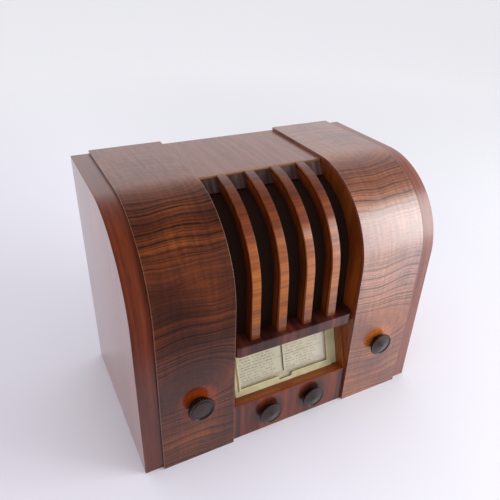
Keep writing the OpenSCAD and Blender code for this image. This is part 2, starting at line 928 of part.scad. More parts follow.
// Chassis
module bolt_places() {
  for (x = [-bolt_x, bolt_x]) for (d = [chassis_back + bolt_inset, chassis_front - bolt_inset])
    translate([x, back_y - d, 0]) children();
}

module chassis() {
  half = chassis_w / 2;
  color("#9aa0a4") difference() {
    union() {
      difference() {
        box(-half, half, chassis_back, chassis_front, base_top, chassis_top);
        box(-half + sheet_t, half - sheet_t, chassis_back + sheet_t, wall_in,
            base_top - cut, chassis_top - sheet_t);
      }
      box(-half, half, chassis_back, chassis_back + flange_w, base_top, base_top + sheet_t);
      box(-half, half, chassis_front - flange_w, chassis_front, base_top, base_top + sheet_t);
      both_sides() box(outer_x - ear_w / 2, outer_x + ear_w / 2, wall_in, chassis_front,
                       chassis_top - sheet_t, chassis_top + ear_h);
      forward(lower_x, lower_z, wall_in - 6) cylinder(r = shaft_r + 2, h = 6 + 2 * sheet_t);
    }
    forward(lower_x, lower_z, wall_in - 8) cylinder(r = shaft_r + bearing_gap, h = 20);
    forward(-lower_x, lower_z, wall_in - cut) cylinder(r = bush_r + fit_gap, h = 10);
    both_sides() forward(outer_x, outer_z, wall_in - cut)
      cylinder(r = bush_r + fit_gap, h = 10);
    bolt_places() cylinder(r = bolt_r + fit_gap, h = base_top + 10);
    for (p = tube_places) stand(p, chassis_top - 10) cylinder(r = tube_base_r - 1, h = 20);
  }
}

module chassis_bolts() {
  color("darkgray") bolt_places() {
    translate([0, 0, base_lift - 3]) cylinder(r = bolt_r + 2, h = 3);
    translate([0, 0, base_lift - cut]) cylinder(r = bolt_r, h = base_t + 8);
    translate([0, 0, base_top + sheet_t]) cylinder(r = 2 * bolt_r, h = 3, $fn = 6);
  }
}

module transformer_core() {
  x = core_at[0];
  d = core_at[1];
  window = core_w / 6;
  limb = core_w / 6;
  color("#54514d") {
    difference() {
      box(x - core_w / 2, x + core_w / 2, d - core_stack / 2, d + core_stack / 2,
          chassis_top, chassis_top + core_h);
      for (s = [-1, 1]) box(x + s * (limb + window / 2) - window / 2,
                            x + s * (limb + window / 2) + window / 2,
                            d - core_stack, d + core_stack,
                            chassis_top + limb, chassis_top + core_h - limb);
    }
    for (s = [-1, 1]) box(x - core_w / 2, x + core_w / 2,
                          d + s * (core_stack / 2 + 5) - 5, d + s * (core_stack / 2 + 5) + 5,
                          chassis_top, chassis_top + 1.6);
  }
}

module transformer_winding() {
  x = core_at[0];
  d = core_at[1];
  limb = core_w / 6;
  window = core_w / 6;
  deep = core_stack / 2 + window;
  low = chassis_top + limb + fit_gap;
  high = chassis_top + core_h - limb - fit_gap;
  color("#c79a5b") difference() {
    box(x - limb - window + fit_gap, x + limb + window - fit_gap, d - deep, d + deep, low, high);
    box(x - limb - fit_gap, x + limb + fit_gap, d - core_stack / 2 - fit_gap,
        d + core_stack / 2 + fit_gap, low - cut, high + cut);
  }
}

// Tuning gang: stator vanes on the left, rotor vanes that turn in between
module gang_place(d) {
  forward(-drum_x, drum_z, d) children();
}

gang_back = gang_d - gang_len / 2;
gang_front = gang_d + gang_len / 2;
gang_low = chassis_top + gang_foot;
gang_high = drum_z + vane_r + 3;
section_starts = [gang_back + 4, gang_back + 4 + section_gap];

module gang_frame() {
  end_t = 2;
  post = 3;
  color("#b9bcbf") difference() {
    union() {
      box(-drum_x - gang_half, -drum_x + gang_half, gang_back, gang_front,
          gang_low, gang_low + end_t);
      for (d = [gang_back, gang_back + section_gap + 1, gang_front - end_t])
        box(-drum_x - gang_half, -drum_x + gang_half, d, d + end_t, gang_low, gang_high);
      box(-drum_x - gang_half, -drum_x - gang_half + post, gang_back, gang_front,
          drum_z - 6, drum_z + 6);
      for (x = [-1, 1]) for (d = [gang_back + 6, gang_front - 6])
        translate([-drum_x + x * (gang_half - 5), back_y - d, chassis_top])
          cylinder(r = 2.5, h = gang_foot);
      for (start = section_starts) for (i = [0:vane_count - 1])
        gang_place(start + i * vane_pitch + vane_pitch / 2 - vane_t / 2) intersection() {
          tube(vane_r + 2, shaft_r + 4, vane_t);
          translate([-gang_half, -vane_r, -cut]) cube([gang_half - 4, 2 * vane_r, 4]);
        }
      for (start = section_starts) for (z = [-1, 1])
        box(-drum_x - gang_half + post - cut, -drum_x - vane_r - 0.8, start + 1, start
            + (vane_count - 0.4) * vane_pitch, drum_z + z * 4 - 1, drum_z + z * 4 + 1);
    }
    gang_place(gang_back - cut) cylinder(r = shaft_r + bearing_gap, h = gang_len + 2 * cut);
  }
}

// At rest the rotor stands half in mesh
module gang_rotor() {
  color("#d5d7d9") {
    gang_place(gang_back - 4) cylinder(r = shaft_r, h = wheel_front - gang_back + 4);
    for (start = section_starts) for (i = [0:vane_count - 1])
      gang_place(start + i * vane_pitch - vane_t / 2) intersection() {
        cylinder(r = vane_r, h = vane_t);
        translate([-vane_r, -1, -cut]) cube([2 * vane_r, vane_r + 2, 4]);
      }
  }
}

module cord_wheel(run_r, bore) {
  groove_r = run_r - groove_drop;
  half_groove = groove_drop + 0.2;
  difference() {
    cylinder(r = run_r + rim_rise, h = wheel_t);
    translate([0, 0, wheel_t / 2 - half_groove]) difference() {
      cylinder(r = run_r + rim_rise + cut, h = 2 * half_groove);
      translate([0, 0, -cut]) cylinder(r = groove_r, h = 2 * half_groove + 2 * cut);
    }
    translate([0, 0, -cut]) cylinder(r = bore, h = wheel_t + 2 * cut);
  }
}

module drive_drum() {
  color("#cfa35a") gang_place(wheel_back) difference() {
    cord_wheel(drum_r, shaft_r + bearing_gap);
    for (i = [0:5]) rotate(60 * i) translate([0.56 * drum_r, 0, -cut])
      cylinder(r = 0.2 * drum_r, h = wheel_t + 2 * cut);
  }
}

module guide_pulley() {
  color("#cfa35a") forward(pulley_x, pulley_z, wheel_back) cord_wheel(pulley_r, 2 + bearing_gap);
}

// The cord's loop runs clockwise round three wheels: [across, height, radius]
wheels = [
  [-drum_x, drum_z, drum_r],
  [pulley_x, pulley_z, pulley_r],
  [lower_x, lower_z, spindle_r]
];

// Direction in which the cord leaves wheel a's rim on its way to wheel b
function leave(a, b) =
  atan2(b[1] - a[1], b[0] - a[0]) + acos((a[2] - b[2]) / norm([b[0] - a[0], b[1] - a[1]]));
function rim_point(w, angle) = [w[0] + w[2] * cos(angle), w[1] + w[2] * sin(angle)];
function turned(angle) = (angle % 360 + 360) % 360;

// Points along the cord's bend round wheel w, grown outward by grow
function bend_points(before, w, after, grow) =
  let (from = leave(before, w), sweep = turned(from - leave(w, after)), steps = ceil(sweep / 5))
  [for (i = [0:steps]) rim_point(w + [0, 0, grow], from - sweep * i / steps)];

module cord_loop(grow) {
  polygon([for (i = [0:2]) each
    bend_points(wheels[(i + 2) % 3], wheels[i], wheels[(i + 1) % 3], grow)]);
}

// The cord is drawn square, as a closed band with short straight steps round the wheels
module drive_cord() {
  color("#3b342c") forward(0, 0, cord_d - cord_dia / 2) linear_extrude(cord_dia) difference() {
    cord_loop(cord_dia / 2);
    cord_loop(-cord_dia / 2);
  }
}

module coil_cans() {
  color("#c3c6c8") for (p = can_places) stand(p, chassis_top) {
    cylinder(r = can_r, h = can_h - 2);
    translate([0, 0, can_h - 2]) cylinder(r = can_r - 1.5, h = 2);
    translate([0, 0, 0]) cylinder(r = can_r + 2, h = 1.2);
  }
}

module filter_capacitor() {
  color("#a9adb0") stand(filter_at, chassis_top) {
    cylinder(r = filter_r, h = filter_h);
    cylinder(r = filter_r + 2.5, h = 3);
    translate([0, 0, filter_h]) cylinder(r = filter_r - 4, h = 1.5);
  }
}

bulb_z = chassis_top + socket_h + tube_base_h;

// A bulb is open at its foot, where it is cemented into the base
module bulb(r, h) {
  neck = tube_base_r - 1.5;
  shoulder = 0.3 * h;
  dome = r;
  rotate_extrude() difference() {
    union() {
      square([neck, shoulder]);
      translate([0, shoulder - 6]) square([r, h - shoulder - dome + 6]);
      intersection() {
        translate([0, h - dome]) circle(dome);
        square([r, h]);
      }
    }
    translate([0, -cut]) square([neck - bulb_wall, shoulder + cut + 1]);
    translate([0, shoulder - 6 + bulb_wall]) square([r - bulb_wall, h - shoulder - dome + 6 - bulb_wall]);
    intersection() {
      translate([0, h - dome]) circle(dome - bulb_wall);
      translate([0, h - dome - 1]) square([r, dome + 1]);
    }
  }
}

module detector_tube() {
  color([0.75, 0.8, 0.8, 0.4]) stand(detector_at, bulb_z) bulb(detector_r, detector_h);
}

module output_tube() {
  color([0.75, 0.8, 0.8, 0.4]) stand(output_at, bulb_z) bulb(output_r, output_h);
}

module rectifier_tube() {
  color([0.75, 0.8, 0.8, 0.4]) stand(rectifier_at, bulb_z) bulb(rectifier_r, rectifier_h);
}

module tube_bases() {
  color("#1d1a18") for (p = tube_places) stand(p, chassis_top + socket_h) {
    cylinder(r = tube_base_r, h = tube_base_h);
    cylinder(r = tube_base_r + 1.2, h = 5);
  }
}

module tube_sockets() {
  color("#6e4a2e") for (p = tube_places) stand(p, chassis_top) {
    cylinder(r = tube_base_r + socket_rim, h = socket_h);
    translate([0, 0, -7]) cylinder(r = tube_base_r - 1 - fit_gap, h = 8);
  }
}

// Loudspeaker, behind the baffle
module on_speaker() {
  on_baffle() translate([0, mouth_u, -baffle_t]) children();
}

rim_t = 1.5;
throat_r = coil_r + 1.4;
gap_deep = 18;

module speaker_basket() {
  wall = 1.5;
  foot = magnet_r - 2;
  color("#74787c") on_speaker() difference() {
    rotate_extrude() polygon([
      [mouth_r - 0.5, 0],
      [rim_r, 0],
      [rim_r, -rim_t],
      [mouth_r + 3 + wall, -rim_t],
      [foot, -basket_depth - wall],
      [throat_r + 4, -basket_depth - wall],
      [throat_r + 4, -basket_depth],
      [foot - wall, -basket_depth],
      [mouth_r + 3, -rim_t],
      [mouth_r - 0.5, -rim_t]
    ]);
    for (i = [0:5]) rotate(60 * i + 30) translate([magnet_r + 6, -10, -basket_depth + 4])
      cube([mouth_r - magnet_r - 12, 20, basket_depth - 8]);
  }
}

module speaker_magnet() {
  color("#3b3d40") on_speaker() translate([0, 0, -basket_depth - 1.5 - magnet_h]) difference() {
    union() {
      cylinder(r = magnet_r, h = magnet_h);
    }
    translate([0, 0, magnet_h - gap_deep]) tube(coil_r + 1.4, coil_r - 1.4, gap_deep + cut);
  }
}

// The cone's edge floats inside the basket's rim
module speaker_cone() {
  edge_r = mouth_r - 1;
  start = -rim_t - 0.8;
  edge_w = 6;
  throat = -basket_depth + 5;
  coil_len = 16;
  color("#2d2724") on_speaker() {
    rotate_extrude() polygon([
      [edge_r, start],
      [edge_r - edge_w, start],
      [coil_r + 0.4, throat],
      [coil_r + 0.4, throat - coil_len],
      [coil_r - 0.4, throat - coil_len],
      [coil_r - 0.4, throat + 1],
      [edge_r - edge_w, start + paper_t],
      [edge_r, start + paper_t]
    ]);
    translate([0, 0, throat - 1]) cylinder(r = coil_r, h = paper_t);
  }
}

module terminal_strip() {
  color("#3a2a22") difference() {
    box(terminal_x - terminal_half, terminal_x + terminal_half, terminal_face, chassis_back,
        terminal_z - terminal_h / 2, terminal_z + terminal_h / 2);
    for (i = [0:3]) forward(terminal_x + (i - 1.5) * socket_pitch, terminal_z, terminal_face - cut)
      cylinder(r = socket_r, h = chassis_back - terminal_face + 2 * cut);
  }
}

module mains_grommet() {
  color("#1a1a1a") forward(grommet_x, grommet_z, cover_in - 2) difference() {
    union() {
      cylinder(r = grommet_r, h = 2);
      cylinder(r = grommet_r - 2 - fit_gap, h = cover_t + 4);
      translate([0, 0, cover_t + 2]) cylinder(r = grommet_r, h = 2);
    }
    translate([0, 0, -cut]) cylinder(r = lead_r, h = cover_t + 4 + 2 * cut);
  }
}

mirror([1, 0, 0]) side_board();  // left_side_board
side_board();  // right_side_board
mirror([1, 0, 0]) tower_skin();  // left_tower_skin
tower_skin();  // right_tower_skin
mirror([1, 0, 0]) recess_wall();  // left_recess_wall
recess_wall();  // right_recess_wall
top_panel();
top_edge_stringing();
grille_header();
grille_slat(1);  // grille_slat_1
grille_slat(2);  // grille_slat_2
grille_slat(3);  // grille_slat_3
grille_slat(4);  // grille_slat_4
grille_sill();
grille_cloth();
baffle_board();
lower_front_panel();
dial_ledge();
dial_jambs();
base_board();
back_cover();
back_cover_screws();
dial_bezel();
dial_glass();
dial_scale();
dial_frame();
dial_lamps();
dial_pointer();
band_indicator();
volume_knob();
tone_knob();
tuning_knob();
wave_knob();
volume_shaft();
tone_shaft();
tuning_shaft();
wave_shaft();
potentiometers();
wave_switch();
chassis();
chassis_bolts();
transformer_core();
transformer_winding();
gang_frame();
gang_rotor();
drive_drum();
drive_cord();
guide_pulley();
coil_cans();
filter_capacitor();
detector_tube();
output_tube();
rectifier_tube();
tube_bases();
tube_sockets();
speaker_basket();
speaker_magnet();
speaker_cone();
terminal_strip();
mains_grommet();
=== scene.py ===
# %% [markdown]
# # A table radio with tubes
# The radio is a wooden cabinet with two veneered towers, and a grille and a dial between them.
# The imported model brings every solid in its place, in metres, with -Y at the front. This
# script gives each of them a finish, and makes finer pieces where a plain solid would look
# too crisp: eased edges, bent veneer, fluted knobs, cloth and a printed dial.

# %% Load the frame
import math
import random
import bmesh
import bpy
from mathutils import Matrix, Vector


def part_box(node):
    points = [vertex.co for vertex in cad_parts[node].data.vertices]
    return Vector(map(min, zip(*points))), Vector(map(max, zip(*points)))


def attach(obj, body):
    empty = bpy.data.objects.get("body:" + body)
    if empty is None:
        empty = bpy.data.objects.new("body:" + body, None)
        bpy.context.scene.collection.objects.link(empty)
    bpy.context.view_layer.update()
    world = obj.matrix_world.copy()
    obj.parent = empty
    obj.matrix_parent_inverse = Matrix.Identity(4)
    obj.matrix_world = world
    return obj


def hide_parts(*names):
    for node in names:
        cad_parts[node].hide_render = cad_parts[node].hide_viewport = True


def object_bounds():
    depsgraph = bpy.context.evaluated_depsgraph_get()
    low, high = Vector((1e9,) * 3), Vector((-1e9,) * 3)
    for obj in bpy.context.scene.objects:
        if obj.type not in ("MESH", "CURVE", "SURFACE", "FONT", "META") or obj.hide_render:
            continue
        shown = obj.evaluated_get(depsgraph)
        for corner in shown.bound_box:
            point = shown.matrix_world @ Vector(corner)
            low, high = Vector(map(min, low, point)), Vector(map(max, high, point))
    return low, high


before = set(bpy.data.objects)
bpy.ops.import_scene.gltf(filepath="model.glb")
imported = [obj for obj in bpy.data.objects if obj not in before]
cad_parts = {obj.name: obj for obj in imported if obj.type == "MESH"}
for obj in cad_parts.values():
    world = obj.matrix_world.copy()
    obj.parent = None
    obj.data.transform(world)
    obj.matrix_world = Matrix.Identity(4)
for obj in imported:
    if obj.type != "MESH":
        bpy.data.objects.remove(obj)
cad_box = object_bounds()
scene = bpy.context.scene
mm = 0.001
print("solids:", len(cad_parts), "box:", [tuple(round(v, 4) for v in c) for c in cad_box])

# %% [markdown]
# The camera stands left of the radio, a little above it. Its place and turn were worked out
# from the cabinet's edges, and its lens shows the radio as large as it should be.

# %% Camera
camera_data = bpy.data.cameras.new("camera")
camera_data.sensor_width = 36
camera_data.lens = 36.69
camera_data.clip_start = 0.01
camera = bpy.data.objects.new("camera", camera_data)
camera.location = (-0.27976, -0.50753, 0.54781)
camera.rotation_euler = (1.03746, -0.030032, -0.469277)
scene.collection.objects.link(camera)
scene.camera = camera
scene.view_settings.view_transform = "Standard"
print("camera stands", round((camera.location - Vector((0, 0, 0.16))).length, 3), "m away")

# %% [markdown]
# Colours are written as sRGB hex values, as they would be picked in a paint program, and one
# function turns them to the linear values that shaders use. Another adds a node, sets its
# options, fills or links its sockets and, on a colour ramp, sets its stops.

# %% Colour and node helpers
def linear(code, alpha=1.0):
    """Linear colour of an sRGB hex code."""
    parts = [int(code[i:i + 2], 16) / 255 for i in (0, 2, 4)]
    return tuple(p / 12.92 if p <= 0.04045 else ((p + 0.055) / 1.055) ** 2.4
                 for p in parts) + (alpha,)


def add(tree, kind, sockets=None, stops=None, **options):
    """Add a node. A socket takes a number, a hex colour, another node or its output."""
    node = tree.nodes.new(kind)
    for name, value in options.items():
        setattr(node, name, value)
    for key, value in (sockets or {}).items():
        socket = node.inputs[key] if isinstance(key, int) else next(
            s for s in node.inputs if s.name == key and s.enabled)
        if isinstance(value, bpy.types.Node):
            value = next(s for s in value.outputs if s.enabled)
        if isinstance(value, bpy.types.NodeSocket):
            tree.links.new(value, socket)
        else:
            socket.default_value = linear(value) if isinstance(value, str) else value
    if stops:
        elements = node.color_ramp.elements
        while len(elements) < len(stops):
            elements.new(0.5)
        for element, (place, code) in zip(elements, stops):
            element.position, element.color = place, linear(code)
    return node


def new_material(name):
    """A material with an empty node tree."""
    material = bpy.data.materials.new(name)
    material.use_nodes = True
    material.node_tree.nodes.clear()
    return material, material.node_tree


print("walnut brown is", [round(c, 3) for c in linear("6B3B25")])

# %% [markdown]
# The radio stands on a pale table that runs on as the background. The room's light is even,
# but what the lacquer mirrors is not: behind the radio the room is white, while the ceiling
# and the part behind the camera are darker, so the top boards look veiled and the bends deep.

# %% Table
# half the table's width in metres, so that it fills the picture
FLOOR = 14.0
bm = bmesh.new()
bmesh.ops.create_grid(bm, x_segments=1, y_segments=1, size=FLOOR)
floor_mesh = bpy.data.meshes.new("table")
bm.to_mesh(floor_mesh)
bm.free()
floor = bpy.data.objects.new("table", floor_mesh)
scene.collection.objects.link(floor)
print("table:", 2 * FLOOR, "m wide")

# %% Table laminate
# past this edge in front, and only towards the left, the lacquer mirrors a dim room
DIM_EDGE, DIM_FULL = -0.24, -0.34
DIM_LEFT, DIM_MIDDLE = -0.65, -0.40
# white laminate pressed between matt plates: a soft white without a highlight of its own;
# painted shade darkens and cools it towards both sides of the radio, and it turns paler far off
table_paint, tree = new_material("matt_white_laminate")
place = add(tree, "ShaderNodeTexCoord")
parts = add(tree, "ShaderNodeSeparateXYZ", {0: place.outputs["Object"]})
slope = add(tree, "ShaderNodeMapRange", {"Value": parts.outputs["X"], "From Min": -0.5,
                                         "From Max": 0.6})
# the painted shade across the table, from left to right
near = add(tree, "ShaderNodeValToRGB", {0: slope}, [
    (0, "E5E2EB"), (0.42, "F3F0F9"), (0.62, "ECEAF1"), (1, "E2E1E7")])
far = add(tree, "ShaderNodeVectorMath", {0: place.outputs["Object"]}, operation="LENGTH")
fade = add(tree, "ShaderNodeMapRange", {"Value": far, "From Min": 0.5, "From Max": 2.2})
pale = add(tree, "ShaderNodeMix", {0: fade, "A": near, "B": "FAFAFC"}, data_type="RGBA")
# only a mirrored ray sees the dim part, so the table itself stays white
ray = add(tree, "ShaderNodeLightPath")
ahead = add(tree, "ShaderNodeMapRange", {"Value": parts.outputs["Y"], "From Min": DIM_FULL,
                                         "From Max": DIM_EDGE, "To Min": 0.9, "To Max": 0.0})
bearing = add(tree, "ShaderNodeMath", {0: parts.outputs["X"], 1: parts.outputs["Y"]},
              operation="DIVIDE")
left = add(tree, "ShaderNodeMapRange", {"Value": bearing, "From Min": DIM_LEFT,
                                        "From Max": DIM_MIDDLE})
past = add(tree, "ShaderNodeMath", {0: ahead, 1: left}, operation="MULTIPLY")
past = add(tree, "ShaderNodeMath", {0: past, 1: ray.outputs["Is Glossy Ray"]},
           operation="MULTIPLY")
pale = add(tree, "ShaderNodeMix", {0: past, "A": pale, "B": "302E30"}, data_type="RGBA")
shader = add(tree, "ShaderNodeBsdfPrincipled", {"Base Color": pale, "Roughness": 0.55})
add(tree, "ShaderNodeOutputMaterial", {"Surface": shader})
floor_mesh.materials.append(table_paint)
print("table finish:", table_paint.name)

# %% Room
world = bpy.data.worlds.new("studio")
scene.world = world
world.use_nodes = True
tree = world.node_tree
tree.nodes.clear()
path = add(tree, "ShaderNodeLightPath")
direction = add(tree, "ShaderNodeTexCoord")
parts = add(tree, "ShaderNodeSeparateXYZ", {0: direction.outputs["Generated"]})
behind = add(tree, "ShaderNodeMapRange", {"Value": parts.outputs["Y"], "From Min": -0.25,
                                          "From Max": 0.45, "To Min": 0.07, "To Max": 1.0})
ceiling = add(tree, "ShaderNodeMapRange", {"Value": parts.outputs["Z"], "From Min": 0.55,
                                           "From Max": 0.9, "To Min": 1.0, "To Max": 0.35})
mirrored = add(tree, "ShaderNodeMath", {0: behind, 1: ceiling}, operation="MULTIPLY")
aside = add(tree, "ShaderNodeMapRange", {"Value": parts.outputs["X"], "From Min": 0.44,
                                         "From Max": 0.72, "To Min": 0.0, "To Max": 0.55})
mirrored = add(tree, "ShaderNodeMath", {0: mirrored, 1: aside}, operation="MAXIMUM")
shiny = add(tree, "ShaderNodeMath", {0: path.outputs["Is Glossy Ray"],
                                     1: path.outputs["Is Transmission Ray"]},
            operation="MAXIMUM")
soft = add(tree, "ShaderNodeBackground", {"Color": "FBFBFF", "Strength": 0.92})
walls = add(tree, "ShaderNodeBackground", {"Color": "F6F6FA", "Strength": mirrored})
wall = add(tree, "ShaderNodeBackground", {"Color": "F5F6F8", "Strength": 1.0})
lit = add(tree, "ShaderNodeMixShader", {0: shiny, 1: soft, 2: walls})
seen = add(tree, "ShaderNodeMixShader", {0: path.outputs["Is Camera Ray"], 1: lit, 2: wall})
add(tree, "ShaderNodeOutputWorld", {"Surface": seen})
print("room:", world.name, "with", len(tree.nodes), "nodes")

# %% [markdown]
# The window stands far to the right of the camera, with a narrower light beside it. Both are
# aimed at the right tower, whose bend mirrors them as tall soft highlights. A sun lamp would
# give those hard edges, so both are rectangular lamps. A lamp's power follows from its size,
# so that a larger one doesn't look brighter in the lacquer.


# %% Lamps
def softbox(name, place, aim, width, height, radiance, colour="FFFFFF"):
    """A rectangular lamp that faces a point, as bright as a surface of that radiance."""
    lamp = bpy.data.lights.new(name, "AREA")
    lamp.shape = "RECTANGLE"
    lamp.size, lamp.size_y = width, height
    lamp.energy = radiance * math.pi * width * height
    lamp.color = linear(colour)[:3]
    holder = bpy.data.objects.new(name, lamp)
    holder.location = place
    turn = (Vector(aim) - Vector(place)).to_track_quat("-Z", "Y")
    holder.rotation_euler = turn.to_euler()
    scene.collection.objects.link(holder)
    holder.visible_camera = False
    return holder


softbox("window", (1.30, -0.85, 0.60), (0.13, -0.05, 0.22), 0.80, 1.15, 5.6)
softbox("window_edge", (0.92, -1.15, 0.52), (0.13, -0.05, 0.20), 0.38, 0.98, 2.7)

# %% [markdown]
# A piece is made as a bmesh, so one function turns it into an object that rides on a body of
# the frame and stands for a solid. Its faces are smooth up to an angle, and a small bevel on
# every sharp edge catches the light as sanded and lacquered wood does.

# %% Piece helpers
def make(bm, name, materials, body="cabinet", nodes=(), ease=0.0, segments=2,
         limit=35):
    """Turn a bmesh into a piece, with its edges eased by a bevel of the given width."""
    mesh = bpy.data.meshes.new(name)
    bm.to_mesh(mesh)
    bm.free()
    for material in materials if isinstance(materials, (list, tuple)) else [materials]:
        mesh.materials.append(material)
    mesh.shade_smooth()
    mesh.set_sharp_from_angle(angle=math.radians(limit))
    piece = bpy.data.objects.new(name, mesh)
    scene.collection.objects.link(piece)
    if ease:
        bevel = piece.modifiers.new("eased_edges", "BEVEL")
        bevel.width = ease
        bevel.segments = segments
        bevel.limit_method = "ANGLE"
        bevel.angle_limit = math.radians(limit)
        bevel.harden_normals = True
    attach(piece, body)
    if nodes:
        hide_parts(*nodes)
    return piece


def copy_of(node):
    """A bmesh of a solid's triangles, merged, with its flat faces whole again."""
    bm = bmesh.new()
    bm.from_mesh(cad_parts[node].data)
    bmesh.ops.remove_doubles(bm, verts=bm.verts, dist=0.002 * mm)
    bmesh.ops.dissolve_limit(bm, angle_limit=math.radians(0.3), verts=bm.verts,
                             edges=bm.edges, delimit={"NORMAL"})
    return bm


def finish_node(node, material):
    """Give a solid that stays as it is its material."""
    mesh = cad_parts[node].data
    mesh.materials.clear()
    mesh.materials.append(material)


print("solids to dress:", len(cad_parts))

# %% [markdown]
# The cabinet's outline runs forward along the top, round the bend and down to the table.
# Veneer and boards follow it, so their grain is laid out by the distance along that path,
# and a UV map in metres holds it.

# %% Cabinet measures
# the bends' radii and centres are those of the solids, counted from the back and the table
BACK = cad_box[1][1]
board_low, board_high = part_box("right_side_board")
skin_low, skin_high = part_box("right_tower_skin")
BOARD_RADIUS = 110 * mm
SKIN_RADIUS = BOARD_RADIUS + skin_high.z - board_high.z
BEND_Z = board_high.z - BOARD_RADIUS
BEND_Y = board_low.y + BOARD_RADIUS
SLAT_Y = BACK - 117 * mm
SLAT_Z = 213 * mm
TOP_RUN = BACK - BEND_Y
print("veneer length:", round(TOP_RUN + SKIN_RADIUS * math.pi / 2 + BEND_Z, 3), "m")


def path_length(y, z, centre_y=BEND_Y, centre_z=BEND_Z, radius=SKIN_RADIUS):
    """Distance along an outline from the back edge of the top to a point on it."""
    top = BACK - centre_y
    if z > centre_z:
        return BACK - y if y > centre_y else top + radius * math.atan2(centre_y - y,
                                                                       z - centre_z)
    return top + radius * math.pi / 2 + centre_z - z


def lay_grain(bm, centre_y=BEND_Y, centre_z=BEND_Z, radius=SKIN_RADIUS):
    """UVs in metres: x and path on the bent faces, and y and z on the flat sides."""
    uv = bm.loops.layers.uv.new("grain")
    for face in bm.faces:
        face.material_index = 1 if abs(face.normal.x) > 0.7 else 0
        for loop in face.loops:
            x, y, z = loop.vert.co
            loop[uv].uv = (y, z) if face.material_index else (
                x, path_length(y, z, centre_y, centre_z, radius))


# %% [markdown]
# ## Striped walnut veneer
# One sheet of figured walnut covers each tower, sliced with a knife, glued down, stained and
# polished to a gloss. It was book-matched: the figure is mirrored at a joint half way down the
# bend, and its growth rings run in long flat curves round an eye above each knob. An image
# could show that, but it would not follow another size. So the pattern takes the distance from
# the nearest eye, and shakes it with a slow sway, a quick one and the fibre.

# %% Growth rings
# dust and a painted sheen lie on the flat top up to the first distance from the back, and are
# gone at the second
DUST_SHEEN_FULL, DUST_SHEEN_GONE = 90 * mm, 165 * mm
# along the veneer from the back: the joint, and how far from it each eye lies
JOINT_RUN = 263 * mm
EYE_RUN = 130 * mm
EYE_FLATNESS = 0.40
# rings start this far from the eye's point, so that the innermost are not circles
EYE_SIZE = 14 * mm
RING_SWAY = 29 * mm
RING_SHAKE = 2.2 * mm
FIBRE_RAG = 1.5 * mm


def growth_rings(tree, uv, parts, eye_x, seed):
    """Slow and quick noise, the distances from the joint and the eye, and that last shaken."""
    # a sway every 90 mm and a shake every 18 mm; a fibre is 9 mm long and 2 mm wide
    slow = add(tree, "ShaderNodeTexNoise", {"Vector": uv, "W": seed, "Scale": 11.0,
                                            "Detail": 1.0, "Roughness": 0.45},
               noise_dimensions="4D")
    quick = add(tree, "ShaderNodeTexNoise", {"Vector": uv, "W": seed + 3, "Scale": 55.0,
                                             "Detail": 2.0}, noise_dimensions="4D")
    past_joint = add(tree, "ShaderNodeMath", {0: parts.outputs["Y"], 1: JOINT_RUN},
                     operation="SUBTRACT")
    fold = add(tree, "ShaderNodeMath", {0: past_joint}, operation="ABSOLUTE")
    away = add(tree, "ShaderNodeMath", {0: fold, 1: EYE_RUN}, operation="SUBTRACT")
    aside = add(tree, "ShaderNodeMath", {0: parts.outputs["X"], 1: EYE_FLATNESS,
                                         2: -eye_x * EYE_FLATNESS}, operation="MULTIPLY_ADD")
    to_eye = add(tree, "ShaderNodeCombineXYZ", {0: aside, 1: away, 2: EYE_SIZE})
    ring = add(tree, "ShaderNodeVectorMath", {0: to_eye}, operation="LENGTH")
    fibre = add(tree, "ShaderNodeMapping", {"Vector": uv, "Scale": (110, 480, 1)})
    ragged = add(tree, "ShaderNodeTexNoise", {"Vector": fibre, "Scale": 1.0, "Detail": 2.0})
    shaken = ring
    for noise, reach in ((slow, RING_SWAY), (quick, RING_SHAKE), (ragged, FIBRE_RAG)):
        shaken = add(tree, "ShaderNodeMath", {0: noise, 1: reach, 2: shaken},
                     operation="MULTIPLY_ADD")
    return slow, quick, fold, ring, shaken


print("eyes lie", round((JOINT_RUN - EYE_RUN) / mm), "and", round((JOINT_RUN + EYE_RUN) / mm),
      "mm down the veneer")

# %% [markdown]
# Late wood grows dark and narrow, so each ring shows as a thin line. Evenly spaced lines would
# look printed. Here a one-dimensional noise pushes them together and apart, and a chance value
# for each gives it a width and a darkness of its own.

# %% Dark lines
# half a line's width, as a share of the gap between two
THINNEST, WIDEST = 0.20, 0.44


